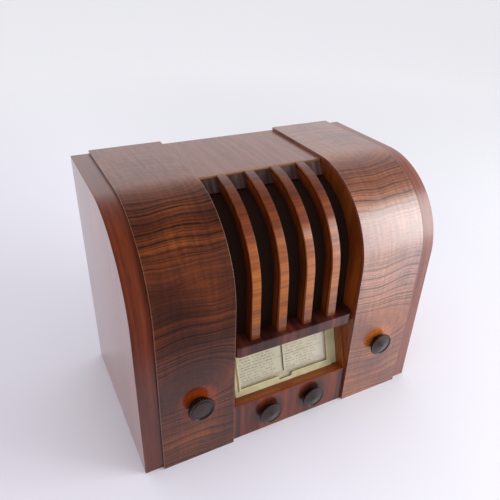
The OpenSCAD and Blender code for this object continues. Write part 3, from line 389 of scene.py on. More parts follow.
def dark_lines(tree, parts, gap, quick, fold, ring, shaken):
    """A mask of thin uneven lines, about one to a gap, and how densely they stand."""
    count = add(tree, "ShaderNodeMath", {0: shaken, 1: 1 / gap}, operation="MULTIPLY")
    uneven = add(tree, "ShaderNodeTexNoise", {"W": shaken, "Scale": 0.3 / gap,
                                              "Detail": 2.0, "Roughness": 0.7},
                 noise_dimensions="1D")
    # a line leaves its even place by up to 1.3 gaps each way, so that lines gather in groups
    count = add(tree, "ShaderNodeMath", {0: uneven, 1: 2.6, 2: count},
                operation="MULTIPLY_ADD")
    middle = add(tree, "ShaderNodeMath", {0: count, 1: 0.5}, operation="PINGPONG")
    number = add(tree, "ShaderNodeMath", {0: count}, operation="ROUND")
    chance = add(tree, "ShaderNodeTexWhiteNoise", {"W": number}, noise_dimensions="1D")
    width = add(tree, "ShaderNodeMapRange", {"Value": chance, "To Min": THINNEST,
                                             "To Max": WIDEST})
    weight = add(tree, "ShaderNodeMapRange", {"Value": chance, "From Min": 0.05,
                                              "From Max": 0.5, "To Min": 0.45, "To Max": 1.0})
    lines = add(tree, "ShaderNodeMapRange", {"Value": middle, "From Min": 0.0,
                                             "From Max": width, "To Min": 1.0, "To Max": 0.0},
                interpolation_type="SMOOTHSTEP")
    # they fade out near the joint, near the eyes and on the flat top, and crowd in between
    crowd = add(tree, "ShaderNodeMapRange", {"Value": fold, "From Min": 14 * mm,
                                             "From Max": 40 * mm, "To Min": 0.10, "To Max": 1.0},
                interpolation_type="SMOOTHSTEP")
    calm = add(tree, "ShaderNodeMapRange", {"Value": ring, "From Min": 15 * mm,
                                            "From Max": 36 * mm, "To Min": 0.15, "To Max": 1.0},
               interpolation_type="SMOOTHSTEP")
    patchy = add(tree, "ShaderNodeMapRange", {"Value": quick, "From Min": 0.33,
                                              "From Max": 0.55, "To Min": 0.7, "To Max": 1.0})
    front = add(tree, "ShaderNodeMapRange", {
        "Value": parts.outputs["Y"], "From Min": 100 * mm, "From Max": 155 * mm,
        "To Min": 0.28, "To Max": 1.0})
    for part in (weight, crowd, calm, patchy, front):
        lines = add(tree, "ShaderNodeMath", {0: lines, 1: part}, operation="MULTIPLY")
    return lines, crowd


print("a line takes from", THINNEST, "to", WIDEST, "of a gap to each side")

# %% [markdown]
# Ninety years have worked on the polish, and painted light lies over it. The flat top is dull
# with dust and a painted sheen, a painted highlight pales the lower part of the right bend where
# the window shines in it, and round each knob a painted reflection leaves the wood orange, where
# the knob's own reflection hides the lacquer's pale sheen. These are colours laid over the wood
# by distance down the veneer.

# %% Dust and painted light
# the painted reflection's orange ring round a knob, counted from its axis
KNOB_REFLECTION_FROM, KNOB_REFLECTION_TO = 17 * mm, 32 * mm


def dust_and_painted_light(tree, uv, parts, body, knob_node, painted_highlight, knob_reflection_colour):
    """Dust and a painted sheen on the top, a painted highlight, and a painted reflection round
    the knob.
    """
    # dust and a painted sheen pale the flat top with a grey lilac veil
    dust_and_sheen = add(tree, "ShaderNodeMapRange", {
        "Value": parts.outputs["Y"], "From Min": DUST_SHEEN_FULL, "From Max": DUST_SHEEN_GONE,
        "To Min": 0.22, "To Max": 0.0}, interpolation_type="SMOOTHSTEP")
    body = add(tree, "ShaderNodeMix", {0: dust_and_sheen, "A": body, "B": "948C92"}, data_type="RGBA")
    # a painted highlight pales the bend below the top, where the window's reflection runs down
    # it; the left veneer gets none
    highlight_start = add(tree, "ShaderNodeMapRange", {
        "Value": parts.outputs["Y"], "From Min": 190 * mm, "From Max": 260 * mm},
        interpolation_type="SMOOTHSTEP")
    highlight_end = add(tree, "ShaderNodeMapRange", {
        "Value": parts.outputs["Y"], "From Min": 300 * mm, "From Max": 400 * mm,
        "To Min": painted_highlight, "To Max": 0.0}, interpolation_type="SMOOTHSTEP")
    highlight_mask = add(tree, "ShaderNodeMath", {0: highlight_start, 1: highlight_end}, operation="MULTIPLY")
    body = add(tree, "ShaderNodeMix", {0: highlight_mask, "A": body, "B": "E4CCC2"},
               data_type="RGBA")
    # a painted reflection: the wood is drawn orange round the knob, where the knob's own
    # reflection hides the lacquer's pale sheen, and the ring starts at its rim
    knob_low, knob_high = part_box(knob_node)
    axis = ((knob_low.x + knob_high.x) / 2, path_length(0, (knob_low.z + knob_high.z) / 2), 0)
    from_knob = add(tree, "ShaderNodeVectorMath", {0: uv, 1: axis}, operation="DISTANCE")
    knob_reflection_mask = add(tree, "ShaderNodeMapRange", {"Value": from_knob, "From Min": KNOB_REFLECTION_FROM,
                                            "From Max": KNOB_REFLECTION_TO, "To Min": 0.8, "To Max": 0.0},
               interpolation_type="SMOOTHSTEP")
    return add(tree, "ShaderNodeMix", {0: knob_reflection_mask, "A": body, "B": knob_reflection_colour},
               data_type="RGBA")


print("orange wood from", round(KNOB_REFLECTION_FROM / mm), "to", round(KNOB_REFLECTION_TO / mm), "mm round a knob")


# %% Striped veneer
def striped_veneer(node, knob_node, name, eye_x, seed, gap, strength, lacquer_ior, haze,
                   top_sheen, painted_highlight, tones, line_colour, knob_reflection_colour):
    """Lacquered figured walnut; tones run from the darkest to the lightest wood."""
    material, tree = new_material(name)
    uv = add(tree, "ShaderNodeUVMap", uv_map="grain")
    parts = add(tree, "ShaderNodeSeparateXYZ", {0: uv})
    slow, quick, fold, ring, shaken = growth_rings(tree, uv, parts, eye_x, seed)
    lines, crowd = dark_lines(tree, parts, gap, quick, fold, ring, shaken)
    # bands and fine streaks between the lines, and a calmer, darker zone at the joint
    bands = add(tree, "ShaderNodeTexNoise", {"W": shaken, "Scale": 0.30 / gap,
                                             "Detail": 5.0, "Roughness": 0.7},
                noise_dimensions="1D")
    warmth = add(tree, "ShaderNodeMapRange", {"Value": crowd, "From Min": 0.10, "From Max": 1.0,
                                              "To Min": 0.02, "To Max": 0.05})
    # a painted sheen lifts the tone towards the flat top
    top_sheen_mask = add(tree, "ShaderNodeMapRange", {
        "Value": parts.outputs["Y"], "From Min": 120 * mm, "From Max": 175 * mm,
        "To Min": top_sheen, "To Max": 0.0}, interpolation_type="SMOOTHSTEP")
    lighter = add(tree, "ShaderNodeMath", {0: warmth, 1: top_sheen_mask}, operation="ADD")
    blotch = add(tree, "ShaderNodeMath", {0: slow, 1: 0.5, 2: lighter},
                 operation="MULTIPLY_ADD")
    tone = add(tree, "ShaderNodeMath", {0: bands, 1: 0.38, 2: blotch}, operation="MULTIPLY_ADD")
    body = add(tree, "ShaderNodeValToRGB", {0: tone},
               list(zip((0.36, 0.46, 0.56, 0.68), tones)))
    body = dust_and_painted_light(tree, uv, parts, body, knob_node, painted_highlight, knob_reflection_colour)
    # pores: dashes across the run, real ones 0.2 mm wide, drawn four times as wide to show
    stretch = add(tree, "ShaderNodeMapping", {"Vector": uv, "Scale": (120, 1200, 1)})
    pores = add(tree, "ShaderNodeTexNoise", {"Vector": stretch, "Scale": 1.0, "Detail": 2.0,
                                             "Roughness": 0.6})
    pore_mask = add(tree, "ShaderNodeMapRange", {"Value": pores, "From Min": 0.52,
                                                 "From Max": 0.72, "To Max": 0.5})
    # ripple: faint bands down the run, 4 mm wide, as light on wavy fibre
    wave = add(tree, "ShaderNodeMapping", {"Vector": uv, "Scale": (240, 26, 1)})
    ripple = add(tree, "ShaderNodeTexNoise", {"Vector": wave, "Scale": 1.0, "Detail": 1.0})
    shade = add(tree, "ShaderNodeMapRange", {"Value": ripple, "From Min": 0.3, "From Max": 0.7,
                                             "To Min": 0.82, "To Max": 1.16})
    rippled = add(tree, "ShaderNodeMix", {0: 1.0, "A": body, "B": shade}, data_type="RGBA",
                  blend_type="MULTIPLY")
    pored = add(tree, "ShaderNodeMix", {0: pore_mask, "A": rippled, "B": line_colour},
                data_type="RGBA")
    depth = add(tree, "ShaderNodeMath", {0: lines, 1: strength}, operation="MULTIPLY")
    lined = add(tree, "ShaderNodeMix", {0: depth, "A": pored, "B": line_colour},
                data_type="RGBA")
    # a painted highlight: a thin line of light wood along the sheet's edges, where the edge
    # catches the light
    low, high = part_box(node)
    off = add(tree, "ShaderNodeMath", {0: parts.outputs["X"], 1: (low.x + high.x) / 2},
              operation="SUBTRACT")
    off = add(tree, "ShaderNodeMath", {0: off}, operation="ABSOLUTE")
    half = (high.x - low.x) / 2
    edge = add(tree, "ShaderNodeMapRange", {"Value": off, "From Min": half - 1.1 * mm,
                                            "From Max": half - 0.6 * mm, "To Max": 0.26})
    edge_highlighted = add(tree, "ShaderNodeMix", {0: edge, "A": lined, "B": "A07A62"},
                data_type="RGBA")
    bump = add(tree, "ShaderNodeBump", {"Height": pores, "Strength": 0.05,
                                        "Distance": 0.2 * mm})
    shader = add(tree, "ShaderNodeBsdfPrincipled", {
        "Base Color": edge_highlighted, "Roughness": 0.45, "IOR": 1.5, "Specular IOR Level": 0.15,
        "Coat Weight": 1.0, "Coat Roughness": haze, "Coat IOR": lacquer_ior, "Normal": bump})
    add(tree, "ShaderNodeOutputMaterial", {"Surface": shader})
    return material


# shellac rubbed on with a pad: a deep clear gloss over dark brown wood with black lines
left_veneer = striped_veneer(
    "left_tower_skin", "volume_knob", "polished_figured_walnut_left", eye_x=-140 * mm, seed=2.0,
    gap=4.2 * mm, strength=0.96, lacquer_ior=1.38, haze=0.13, top_sheen=0.20, painted_highlight=0.0,
    tones=("32140A", "4A1E0A", "662D0E", "824214"), line_colour="0C0403", knob_reflection_colour="8E3606")
# the same, drawn paler as painted light from the window, and hazier so that its gloss spreads
# into a broad sheen
right_veneer = striped_veneer(
    "right_tower_skin", "wave_knob", "polished_figured_walnut_right", eye_x=116 * mm, seed=7.0,
    gap=4.2 * mm, strength=0.84, lacquer_ior=1.80, haze=0.27, top_sheen=0.06, painted_highlight=0.22,
    tones=("622E1A", "804225", "98562F", "AE6C42"), line_colour="180A07", knob_reflection_colour="C06818")
print("striped veneers:", left_veneer.name, right_veneer.name)

# %% [markdown]
# ## Plain boards
# The other wood is plain: walnut for the side boards and top, birch with an orange stain for
# the recess, dark walnut for the sill. It was sawn or peeled along the trunk, so all of it is
# grain in one direction, and one function makes it: the coordinates are stretched along the
# grain, a broad noise sets the bands, a finer one the streaks, and the finest the pores. Each
# wood gets its own colours and its own count of streaks per metre along x, y and z: 170 is one
# every 6 mm, and 7 is one every 140 mm, which is the direction that the grain runs in.

# %% Plain wood
# fewer streaks per metre than this means along the grain, where pores are cut shorter
ALONG_GRAIN = 40
# how much finer each layer is than the streaks, its detail, and how much shorter it is cut
WOOD_LAYERS = ((0.22, 2.0, 1.0), (1.0, 2.0, 1.0), (5.0, 1.0, 1.6))


def wood(name, tones, scale, grain=False, seed=0.0, pore=0.35, band=0.5, gloss=0.13,
         coat=1.0, lacquer_ior=1.38):
    """Lacquered wood; scale is the count of streaks per metre along x, y and z."""
    material, tree = new_material(name)
    if grain:
        source = add(tree, "ShaderNodeUVMap", uv_map="grain").outputs[0]
    else:
        source = add(tree, "ShaderNodeTexCoord").outputs["Object"]
    noises = []
    for factor, detail, shorter in WOOD_LAYERS:
        spread = [s * factor * (shorter if s < ALONG_GRAIN else 1.0) for s in scale]
        place = add(tree, "ShaderNodeMapping", {"Vector": source, "Scale": spread})
        noises.append(add(tree, "ShaderNodeTexNoise", {
            "Vector": place, "W": seed + factor, "Scale": 1.0, "Detail": detail,
            "Distortion": 0.3}, noise_dimensions="4D"))
    broad, streaks, pores = noises
    tone = add(tree, "ShaderNodeMix", {0: band, "A": streaks, "B": broad})
    body = add(tree, "ShaderNodeValToRGB", {0: tone},
               list(zip((0.32, 0.46, 0.58, 0.72), tones)))
    # dark polish fills the pores
    mask = add(tree, "ShaderNodeMapRange", {"Value": pores, "From Min": 0.5, "From Max": 0.72,
                                            "To Max": pore})
    pored = add(tree, "ShaderNodeMix", {0: mask, "A": body, "B": "1C100C"}, data_type="RGBA")
    bump = add(tree, "ShaderNodeBump", {"Height": pores, "Strength": 0.05,
                                        "Distance": 0.2 * mm})
    shader = add(tree, "ShaderNodeBsdfPrincipled", {
        "Base Color": pored, "Roughness": 0.5, "IOR": 1.5,
        "Specular IOR Level": 0.15 if coat else 0.4, "Coat Weight": coat,
        "Coat Roughness": gloss, "Coat IOR": lacquer_ior, "Normal": bump})
    add(tree, "ShaderNodeOutputMaterial", {"Surface": shader})
    return material


def under_lacquer(material):
    """A wood's node tree, its shader, and the node that colours it."""
    tree = material.node_tree
    shader = next(n for n in tree.nodes if n.type == "BSDF_PRINCIPLED")
    return tree, shader, shader.inputs["Base Color"].links[0].from_node


def tint_by_layer(tree, shader, colour, layer):
    """Multiply a wood's colour by a layer of tint, such as painted shade and sheen, and hand it
    to the shader.
    """
    stained = add(tree, "ShaderNodeMix", {0: 1.0, "A": colour, "B": layer}, data_type="RGBA",
                  blend_type="MULTIPLY")
    tree.links.new(stained.outputs[2], shader.inputs["Base Color"])


print("a streak of the strips is", round(1000 / 170, 1), "mm wide")

# %% Walnut boards
# plain sliced walnut, stained and polished: straight red-brown streaks, 6 mm wide and 140 mm
# long, under a clear gloss
strip_wood = wood("stained_plain_walnut_strip", ("4E1A06", "62250A", "742F0E", "863C14"),
                  (170, 7, 1), grain=True, seed=1, lacquer_ior=1.46)
tree, shader, coloured = under_lacquer(strip_wood)
parts = add(tree, "ShaderNodeSeparateXYZ", {0: add(tree, "ShaderNodeUVMap", uv_map="grain")})
# dust and a painted sheen pale its flat top, and it is drawn darker below the bend
dust_and_sheen = add(tree, "ShaderNodeMapRange", {
    "Value": parts.outputs["Y"], "From Min": DUST_SHEEN_FULL, "From Max": DUST_SHEEN_GONE,
    "To Min": 0.26, "To Max": 0.0}, interpolation_type="SMOOTHSTEP")
dusty = add(tree, "ShaderNodeMix", {0: dust_and_sheen, "A": coloured, "B": "A08C8C"}, data_type="RGBA")
along = add(tree, "ShaderNodeMapRange", {
    "Value": parts.outputs["Y"], "From Min": 200 * mm, "From Max": 400 * mm})
darker_below_bend = add(tree, "ShaderNodeValToRGB", {0: along}, [(0.0, "FFFFFF"), (1.0, "C6B4B8")])
tint_by_layer(tree, shader, dusty, darker_below_bend)
# the same on the window's side, paler and pinker as painted light from the window, its gloss hazy
right_strip_wood = wood("window_lit_plain_walnut_strip", ("642E22", "7C4234", "905446", "A4685A"),
                        (170, 7, 1), grain=True, seed=14, gloss=0.27, lacquer_ior=1.56)
# the outer sides: streaks 9 mm wide in a lighter wood, seen through the white sheen of the room
side_wood = wood("stained_plain_walnut_side", ("6A2E1E", "84402E", "9A503C", "AC6450"),
                 (110, 5, 1), grain=True, seed=2, lacquer_ior=1.5)
# the top, rubbed and dusted for years: low contrast, a greyish brown with streaks 7 mm wide
top_wood = wood("stained_walnut_top", ("744438", "804F41", "8A5A4B", "926455"),
                (150, 7, 40), seed=3, lacquer_ior=1.46)
# the sill, stained almost black: red stripes in dark wood, 5 mm wide and 80 mm long
sill_wood = wood("dark_stained_walnut", ("180807", "34130F", "54241B", "743C30"),
                 (190, 12, 12), seed=7)
# the header under the top, stained and dusty: a dull purple brown with streaks 4 mm wide
header_wood = wood("dusty_stained_walnut_header", ("281816", "422C2A", "5E4442", "80605C"),
                   (240, 24, 10), seed=6, pore=0.3)
print("walnut finishes:", ", ".join(m.name for m in (
    strip_wood, right_strip_wood, side_wood, top_wood, sill_wood, header_wood)))

# %% Birch and maple
# peeled birch, stained orange and lacquered: warm and almost even, with faint upright streaks
# 11 mm wide, since a peeled sheet shows its rings as broad bands
recess_wood = wood("orange_stained_birch", ("5E260E", "863C12", "A24E1A", "BA652A"),
                   (60, 90, 7), seed=4, pore=0.25)
tree, shader, coloured = under_lacquer(recess_wood)
place = add(tree, "ShaderNodeTexCoord")
parts = add(tree, "ShaderNodeSeparateXYZ", {0: place.outputs["Object"]})
# painted shade darkens the recess towards its top
shade_towards_top = add(tree, "ShaderNodeMapRange", {
    "Value": parts.outputs["Z"], "From Min": 160 * mm, "From Max": 260 * mm, "To Min": 1.0,
    "To Max": 0.5})
tint_by_layer(tree, shader, coloured, shade_towards_top)
# the same birch on the ledge, with its grain across: drawn a little brighter as painted light,
# as it faces upwards, and sliced to streaks of 6 mm
ledge_wood = wood("orange_stained_birch_ledge", ("6A2A0C", "8A3E14", "A4501E", "BA662E"),
                  (6, 160, 160), seed=5)
# the jambs beside the dial: the same stain on thin upright strips, with streaks of 7 mm
jamb_wood = wood("red_stained_birch_jamb", ("5E290E", "803E15", "9A501C", "AE642A"),
                 (140, 140, 8), seed=8)
# bare plywood, glued from peeled sheets and not lacquered: pale, yellowish and matt, with
# bands of 11 mm
plywood = wood("birch_plywood", ("A98A62", "B8986E", "C6A77C", "D2B58C"),
               (8, 90, 90), seed=9, coat=0.0, pore=0.2)
# a sawn line of maple let into the top's edge: light and plain, with streaks of 2.5 mm
light_inlay = wood("maple_inlay", ("6A4026", "85583A", "9C7050", "AC8462"),
                   (14, 400, 400), seed=10, pore=0.15)
print("birch and maple finishes:", ", ".join(m.name for m in (
    recess_wood, ledge_wood, jamb_wood, plywood, light_inlay)))

# %% [markdown]
# The lower front panel is veneered with its grain upright, and its ends show dark purple
# heartwood stripes. They could be strips of another wood, but they blend into the sheet. So
# they are one more layer on the same wood: a noise that only changes across the width, let
# through where the distance from the middle is large. A painted shadow lies round the two knobs.

# %% Lower panel wood
# dark stripes of heartwood per metre
HEART_STRIPES = 150
# sliced walnut, stained and polished: upright reddish streaks, 8 mm wide, under a clear gloss
panel_wood = wood("upright_walnut_panel", ("38120A", "562212", "702E16", "8A4222"),
                  (130, 130, 7), seed=11)
tree, shader, coloured = under_lacquer(panel_wood)
place = add(tree, "ShaderNodeTexCoord")
parts = add(tree, "ShaderNodeSeparateXYZ", {0: place.outputs["Object"]})
wide = add(tree, "ShaderNodeMapping", {"Vector": place.outputs["Object"],
                                       "Scale": (HEART_STRIPES, 1, 6)})
stripes = add(tree, "ShaderNodeTexNoise", {"Vector": wide, "Scale": 1.0, "Detail": 2.0})
stripes = add(tree, "ShaderNodeMapRange", {"Value": stripes, "From Min": 0.45,
                                           "From Max": 0.6})
outward = add(tree, "ShaderNodeMath", {0: parts.outputs["X"]}, operation="ABSOLUTE")
ends = add(tree, "ShaderNodeMapRange", {"Value": outward, "From Min": 48 * mm,
                                        "From Max": 75 * mm, "To Max": 0.85})
amount = add(tree, "ShaderNodeMath", {0: stripes, 1: ends}, operation="MULTIPLY")
striped = add(tree, "ShaderNodeMix", {0: amount, "A": coloured, "B": "2C1618"},
              data_type="RGBA")
# a painted shadow darkens the wood round each lower knob
flat = add(tree, "ShaderNodeCombineXYZ", {0: parts.outputs["X"], 2: parts.outputs["Z"]})
for node in ("tone_knob", "tuning_knob"):
    low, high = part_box(node)
    axis = ((low.x + high.x) / 2, 0, (low.z + high.z) / 2)
    from_knob = add(tree, "ShaderNodeVectorMath", {0: flat, 1: axis}, operation="DISTANCE")
    painted_knob_shadow = add(tree, "ShaderNodeMapRange", {
        "Value": from_knob, "From Min": 15 * mm, "From Max": 27 * mm, "To Min": 0.7,
        "To Max": 0.0}, interpolation_type="SMOOTHSTEP")
    striped = add(tree, "ShaderNodeMix", {0: painted_knob_shadow, "A": striped, "B": "200E09"},
                  data_type="RGBA")
tree.links.new(striped.outputs[2], shader.inputs["Base Color"])
print("panel stripes about", round(1000 / HEART_STRIPES, 1), "mm apart")

# %% [markdown]
# ## Cabinet pieces
# The cabinet is glued up from boards, with the bent skins over them. The boards keep the
# solids' shapes. They could be modelled anew, but then they might not fit their neighbours, so
# a merged copy of each is eased by a small bevel. Real boards are sanded, and a lacquered edge
# shows as a thin bright line. At the back a rail under each skin closes the gap above the cover.

# %% Tower skins and side boards
for side, veneer, strip in (("left", left_veneer, strip_wood),
                            ("right", right_veneer, right_strip_wood)):
    for part, materials, ease, slot in (
            ("tower_skin", [veneer, strip], 0.7 * mm, "walnut_stripe"),
            ("side_board", [strip, side_wood], 0.9 * mm, "walnut_plain")):
        node = side + "_" + part
        bm = copy_of(node)
        lay_grain(bm)
        piece = make(bm, node + "_veneered", materials, nodes=[node], ease=ease, segments=3)
        print(piece.name, "faces:", len(piece.data.polygons))

# %% Recess, top, sill and front
for node, material, ease, slot in (
        ("left_recess_wall", recess_wood, 0.5, "orange_wood"),
        ("right_recess_wall", recess_wood, 0.5, "orange_wood"),
        ("top_panel", top_wood, 0.3, "top_wood"),
        ("top_edge_stringing", light_inlay, 0.4, "stringing"),
        ("grille_header", header_wood, 0.5, "slat_wood"),
        ("grille_sill", sill_wood, 1.2, "dark_wood"),
        ("lower_front_panel", panel_wood, 0.4, "dark_wood"),
        ("dial_ledge", ledge_wood, 0.5, "orange_wood"),
        ("dial_jambs", jamb_wood, 0.5, "jamb_wood"),
        ("base_board", plywood, 0.6, "plywood"),
        ("baffle_board", plywood, 0.4, "plywood")):
    make(copy_of(node), node + "_eased", material, nodes=[node], ease=ease * mm)

# %% Rear top rails
panel_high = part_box("top_panel")[1]
cover_low, cover_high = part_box("back_cover")
# how far a rail stays clear of its neighbours
RAIL_GAP = 0.1 * mm
# each rail lies beside the panel's rear end, behind the recess wall
for side in (-1, 1):
    low = Vector((panel_high.x + RAIL_GAP, cover_low.y + RAIL_GAP, cover_high.z + RAIL_GAP))
    high = Vector((board_low.x - RAIL_GAP, panel_high.y, panel_high.z - RAIL_GAP))
    bm = bmesh.new()
    bmesh.ops.create_cube(bm, size=1)
    bmesh.ops.scale(bm, verts=bm.verts, vec=high - low)
    middle = (low + high) / 2
    bmesh.ops.translate(bm, verts=bm.verts, vec=(side * middle.x, middle.y, middle.z))
    make(bm, ("left" if side < 0 else "right") + "_rear_top_rail", top_wood, ease=0.4 * mm)
print("rear top rails:", round((high.x - low.x) / mm, 1), "mm long")

# %% [markdown]
# ## Grille slats
# Each slat is a bent lamination: a core of orange wood with a strip of light cross-grained
# veneer glued to its face. Seen from the side, a fine dark glue line runs 4 mm behind the
# face. It could be cut as a groove, but a glue line is flush. So the side's material draws it
# from the distance to the bend's centre, and darkens the side towards its back as painted shade.
# The face's grain runs across the slat, and its tone changes slowly along the bend: painted
# shade at its top and foot, and a painted sheen in between.

# %% Slat woods
# how far the slats' face and the glue line lie from the bend's centre
SLAT_RADIUS = 109 * mm
GLUE_RADIUS = 105 * mm
# how deep the side's glue line and painted shade are followed, back from the face
SIDE_DEPTH = 17 * mm
# half the width of the glue line, and the point where it has faded, as shares of that depth
GLUE_HALF, GLUE_FADE = 0.04, 0.08

# thin birch sheets, glued in a curved press, stained and lacquered: orange with dark streaks,
# 8 mm wide and 80 mm long
slat_side_wood = wood("laminated_birch_slat_side", ("702F12", "92491C", "AC5D24", "C27232"),
                      (70, 120, 12), seed=12, pore=0.25)
tree, shader, coloured = under_lacquer(slat_side_wood)
place = add(tree, "ShaderNodeTexCoord")
moved = add(tree, "ShaderNodeMapping", {"Vector": place.outputs["Object"],
                                        "Location": (0, -SLAT_Y, -SLAT_Z)})
parts = add(tree, "ShaderNodeSeparateXYZ", {0: moved})
above = add(tree, "ShaderNodeMath", {0: parts.outputs["Z"], 1: 0.0}, operation="MAXIMUM")
reach = add(tree, "ShaderNodeCombineXYZ", {0: parts.outputs["Y"], 1: above})
radius = add(tree, "ShaderNodeVectorMath", {0: reach}, operation="LENGTH")
across = add(tree, "ShaderNodeMapRange", {"Value": radius, "From Min": SLAT_RADIUS - SIDE_DEPTH,
                                          "From Max": SLAT_RADIUS})
line = (GLUE_RADIUS - SLAT_RADIUS) / SIDE_DEPTH + 1
# the side darkens towards its back as painted shade, and the glue line is a dark band across it
layers = add(tree, "ShaderNodeValToRGB", {0: across}, [
    (0.0, "7A685E"), (line - GLUE_FADE, "B8A294"), (line - GLUE_HALF, "3A2A24"),
    (line + GLUE_HALF, "3A2A24"), (line + GLUE_FADE, "FFF4E8")])
tint_by_layer(tree, shader, coloured, layers)

# a strip of light walnut veneer with its grain across: tan with fine brown lines, 2 mm apart
slat_face_wood = wood("cross_grained_walnut_slat_face", ("7E4418", "A06226", "B8782E", "CC8E42"),
                      (12, 520, 1), grain=True, seed=13, pore=0.3, band=0.6, gloss=0.16,
                      lacquer_ior=1.7)
tree, shader, coloured = under_lacquer(slat_face_wood)
parts = add(tree, "ShaderNodeSeparateXYZ", {0: add(tree, "ShaderNodeUVMap", uv_map="grain")})
# painted shade darkens the face towards its top and foot, and a painted sheen lightens it in
# between
down = add(tree, "ShaderNodeMapRange", {
    "Value": parts.outputs["Y"], "From Min": 130 * mm, "From Max": 352 * mm})
shade_and_sheen = add(tree, "ShaderNodeValToRGB", {0: down}, [
    (0.0, "8E6254"), (0.35, "B48474"), (0.6, "EACAB4"), (0.8, "E8D0BA"), (0.9, "C4A48E"),
    (1.0, "987866")])
tint_by_layer(tree, shader, coloured, shade_and_sheen)
print("glue line", round((SLAT_RADIUS - GLUE_RADIUS) / mm, 1), "mm behind the slats' face")

# %% Slats
for number in range(1, 5):
    node = "grille_slat_%d" % number
    bm = copy_of(node)
    lay_grain(bm, SLAT_Y, SLAT_Z, SLAT_RADIUS)
    make(bm, node + "_laminated", [slat_face_wood, slat_side_wood], nodes=[node],
         ease=0.9 * mm, segments=3)

# %% [markdown]
# ## Grille cloth
# Behind the slats a black open-weave cloth is stretched over the curve, to let the sound out
# and keep the dust from the loudspeaker. Simulated cloth would settle to the same taut curve,
# so it is one sheet: an edge laid across the recess, pulled along the same path as the slats.
# Its weave is two sets of threads in a plain over-and-under pattern. Real ones lie 0.7 mm
# apart, and they are drawn 1.4 mm apart so that they show.

# %% Cloth material
# from one thread to the next
THREAD = 1.4 * mm
# cotton, woven and dyed black: it swallows the light, with a brown cast from dust in its threads
cloth, tree = new_material("black_woven_grille_cloth")
uv = add(tree, "ShaderNodeUVMap", uv_map="grain")
parts = add(tree, "ShaderNodeSeparateXYZ", {0: uv})
threads = []
for axis in ("X", "Y"):
    turns = add(tree, "ShaderNodeMath", {0: parts.outputs[axis], 1: math.tau / THREAD / 2},
                operation="MULTIPLY")
    wave = add(tree, "ShaderNodeMath", {0: turns}, operation="SINE")
    threads.append(add(tree, "ShaderNodeMath", {0: wave}, operation="ABSOLUTE"))
over = add(tree, "ShaderNodeTexChecker", {"Vector": uv, "Scale": 1 / THREAD, "Color1": "FFFFFF",
                                          "Color2": "000000"})
weave = add(tree, "ShaderNodeMix", {0: over.outputs["Fac"], "A": threads[0],
                                    "B": threads[1]})
# dust lies in patches of about 25 mm
dust = add(tree, "ShaderNodeTexNoise", {"Vector": uv, "Scale": 40.0, "Detail": 3.0})
dark = add(tree, "ShaderNodeValToRGB", {0: weave}, [(0.0, "120906"), (1.0, "341C15")])
dusty = add(tree, "ShaderNodeMix", {0: dust, "A": dark, "B": "20140F"}, data_type="RGBA")
bump = add(tree, "ShaderNodeBump", {"Height": weave, "Strength": 0.5, "Distance": 0.3 * mm})
shader = add(tree, "ShaderNodeBsdfPrincipled", {
    "Base Color": dusty, "Roughness": 0.95, "Specular IOR Level": 0.12, "Normal": bump})
add(tree, "ShaderNodeOutputMaterial", {"Surface": shader})
print("threads", round(THREAD / mm, 1), "mm apart")

# %% Cloth sheet
cloth_low, cloth_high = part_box("grille_cloth")
# the cloth's distance from the centre of the slats' bend
CLOTH_RADIUS = 91.4 * mm
# below the bend the cloth leans forward by this much, in so many straight steps
FOOT_LEAN = math.radians(2)
FOOT_STEPS = 6
# its top edge runs on this far, up to the header's underside
TOP_TUCK = 2.8 * mm


def bent_sheet(x0, x1, start_angle, end_angle, foot, radius, steps=36):
    """A sheet round the slats' centre, from one angle to the other, with a straight foot."""
    bm = bmesh.new()
    start = (SLAT_Y - radius * math.sin(start_angle), SLAT_Z + radius * math.cos(start_angle))
    edge = bm.edges.new([bm.verts.new((x, *start)) for x in (x0, x1)])
    spun = bmesh.ops.spin(bm, geom=[edge], cent=(0, SLAT_Y, SLAT_Z), axis=(1, 0, 0),
                          angle=end_angle - start_angle, steps=steps, use_merge=False)
    edge = next(g for g in spun["geom_last"] if isinstance(g, bmesh.types.BMEdge))
    for _ in range(FOOT_STEPS):
        pulled = bmesh.ops.extrude_edge_only(bm, edges=[edge])["geom"]
        verts = [g for g in pulled if isinstance(g, bmesh.types.BMVert)]
        drop = foot / FOOT_STEPS
        bmesh.ops.translate(bm, verts=verts, vec=(0, -drop * math.tan(FOOT_LEAN), -drop))
        edge = next(g for g in pulled if isinstance(g, bmesh.types.BMEdge)
                    and all(v in verts for v in g.verts))
    bmesh.ops.remove_doubles(bm, verts=bm.verts, dist=0.01 * mm)
    bmesh.ops.recalc_face_normals(bm, faces=bm.faces)
    if sum(f.normal.y for f in bm.faces) > 0:
        bmesh.ops.reverse_faces(bm, faces=bm.faces)
    return bm


top_angle = math.asin((SLAT_Y - cloth_high.y - TOP_TUCK) / CLOTH_RADIUS)
last_angle = math.pi / 2 - FOOT_LEAN
last_z = SLAT_Z + CLOTH_RADIUS * math.cos(last_angle)
foot = last_z - cloth_low.z
bm = bent_sheet(cloth_low.x, cloth_high.x, top_angle, last_angle, foot, CLOTH_RADIUS)
lay_grain(bm, SLAT_Y, SLAT_Z, CLOTH_RADIUS)
for face in bm.faces:
    face.material_index = 0
sheet = make(bm, "grille_cloth_stretched", cloth, nodes=["grille_cloth"])

# %% [markdown]
# ## Dial
# The dial leans back between the sill and the ledge: a bezel with two steps round its window,
# a pane of glass, the pointer, and behind it the printed scale. Bezel, glass and scale keep
# their solids, since their shapes are plain, and each gets the finish of what it is made of.

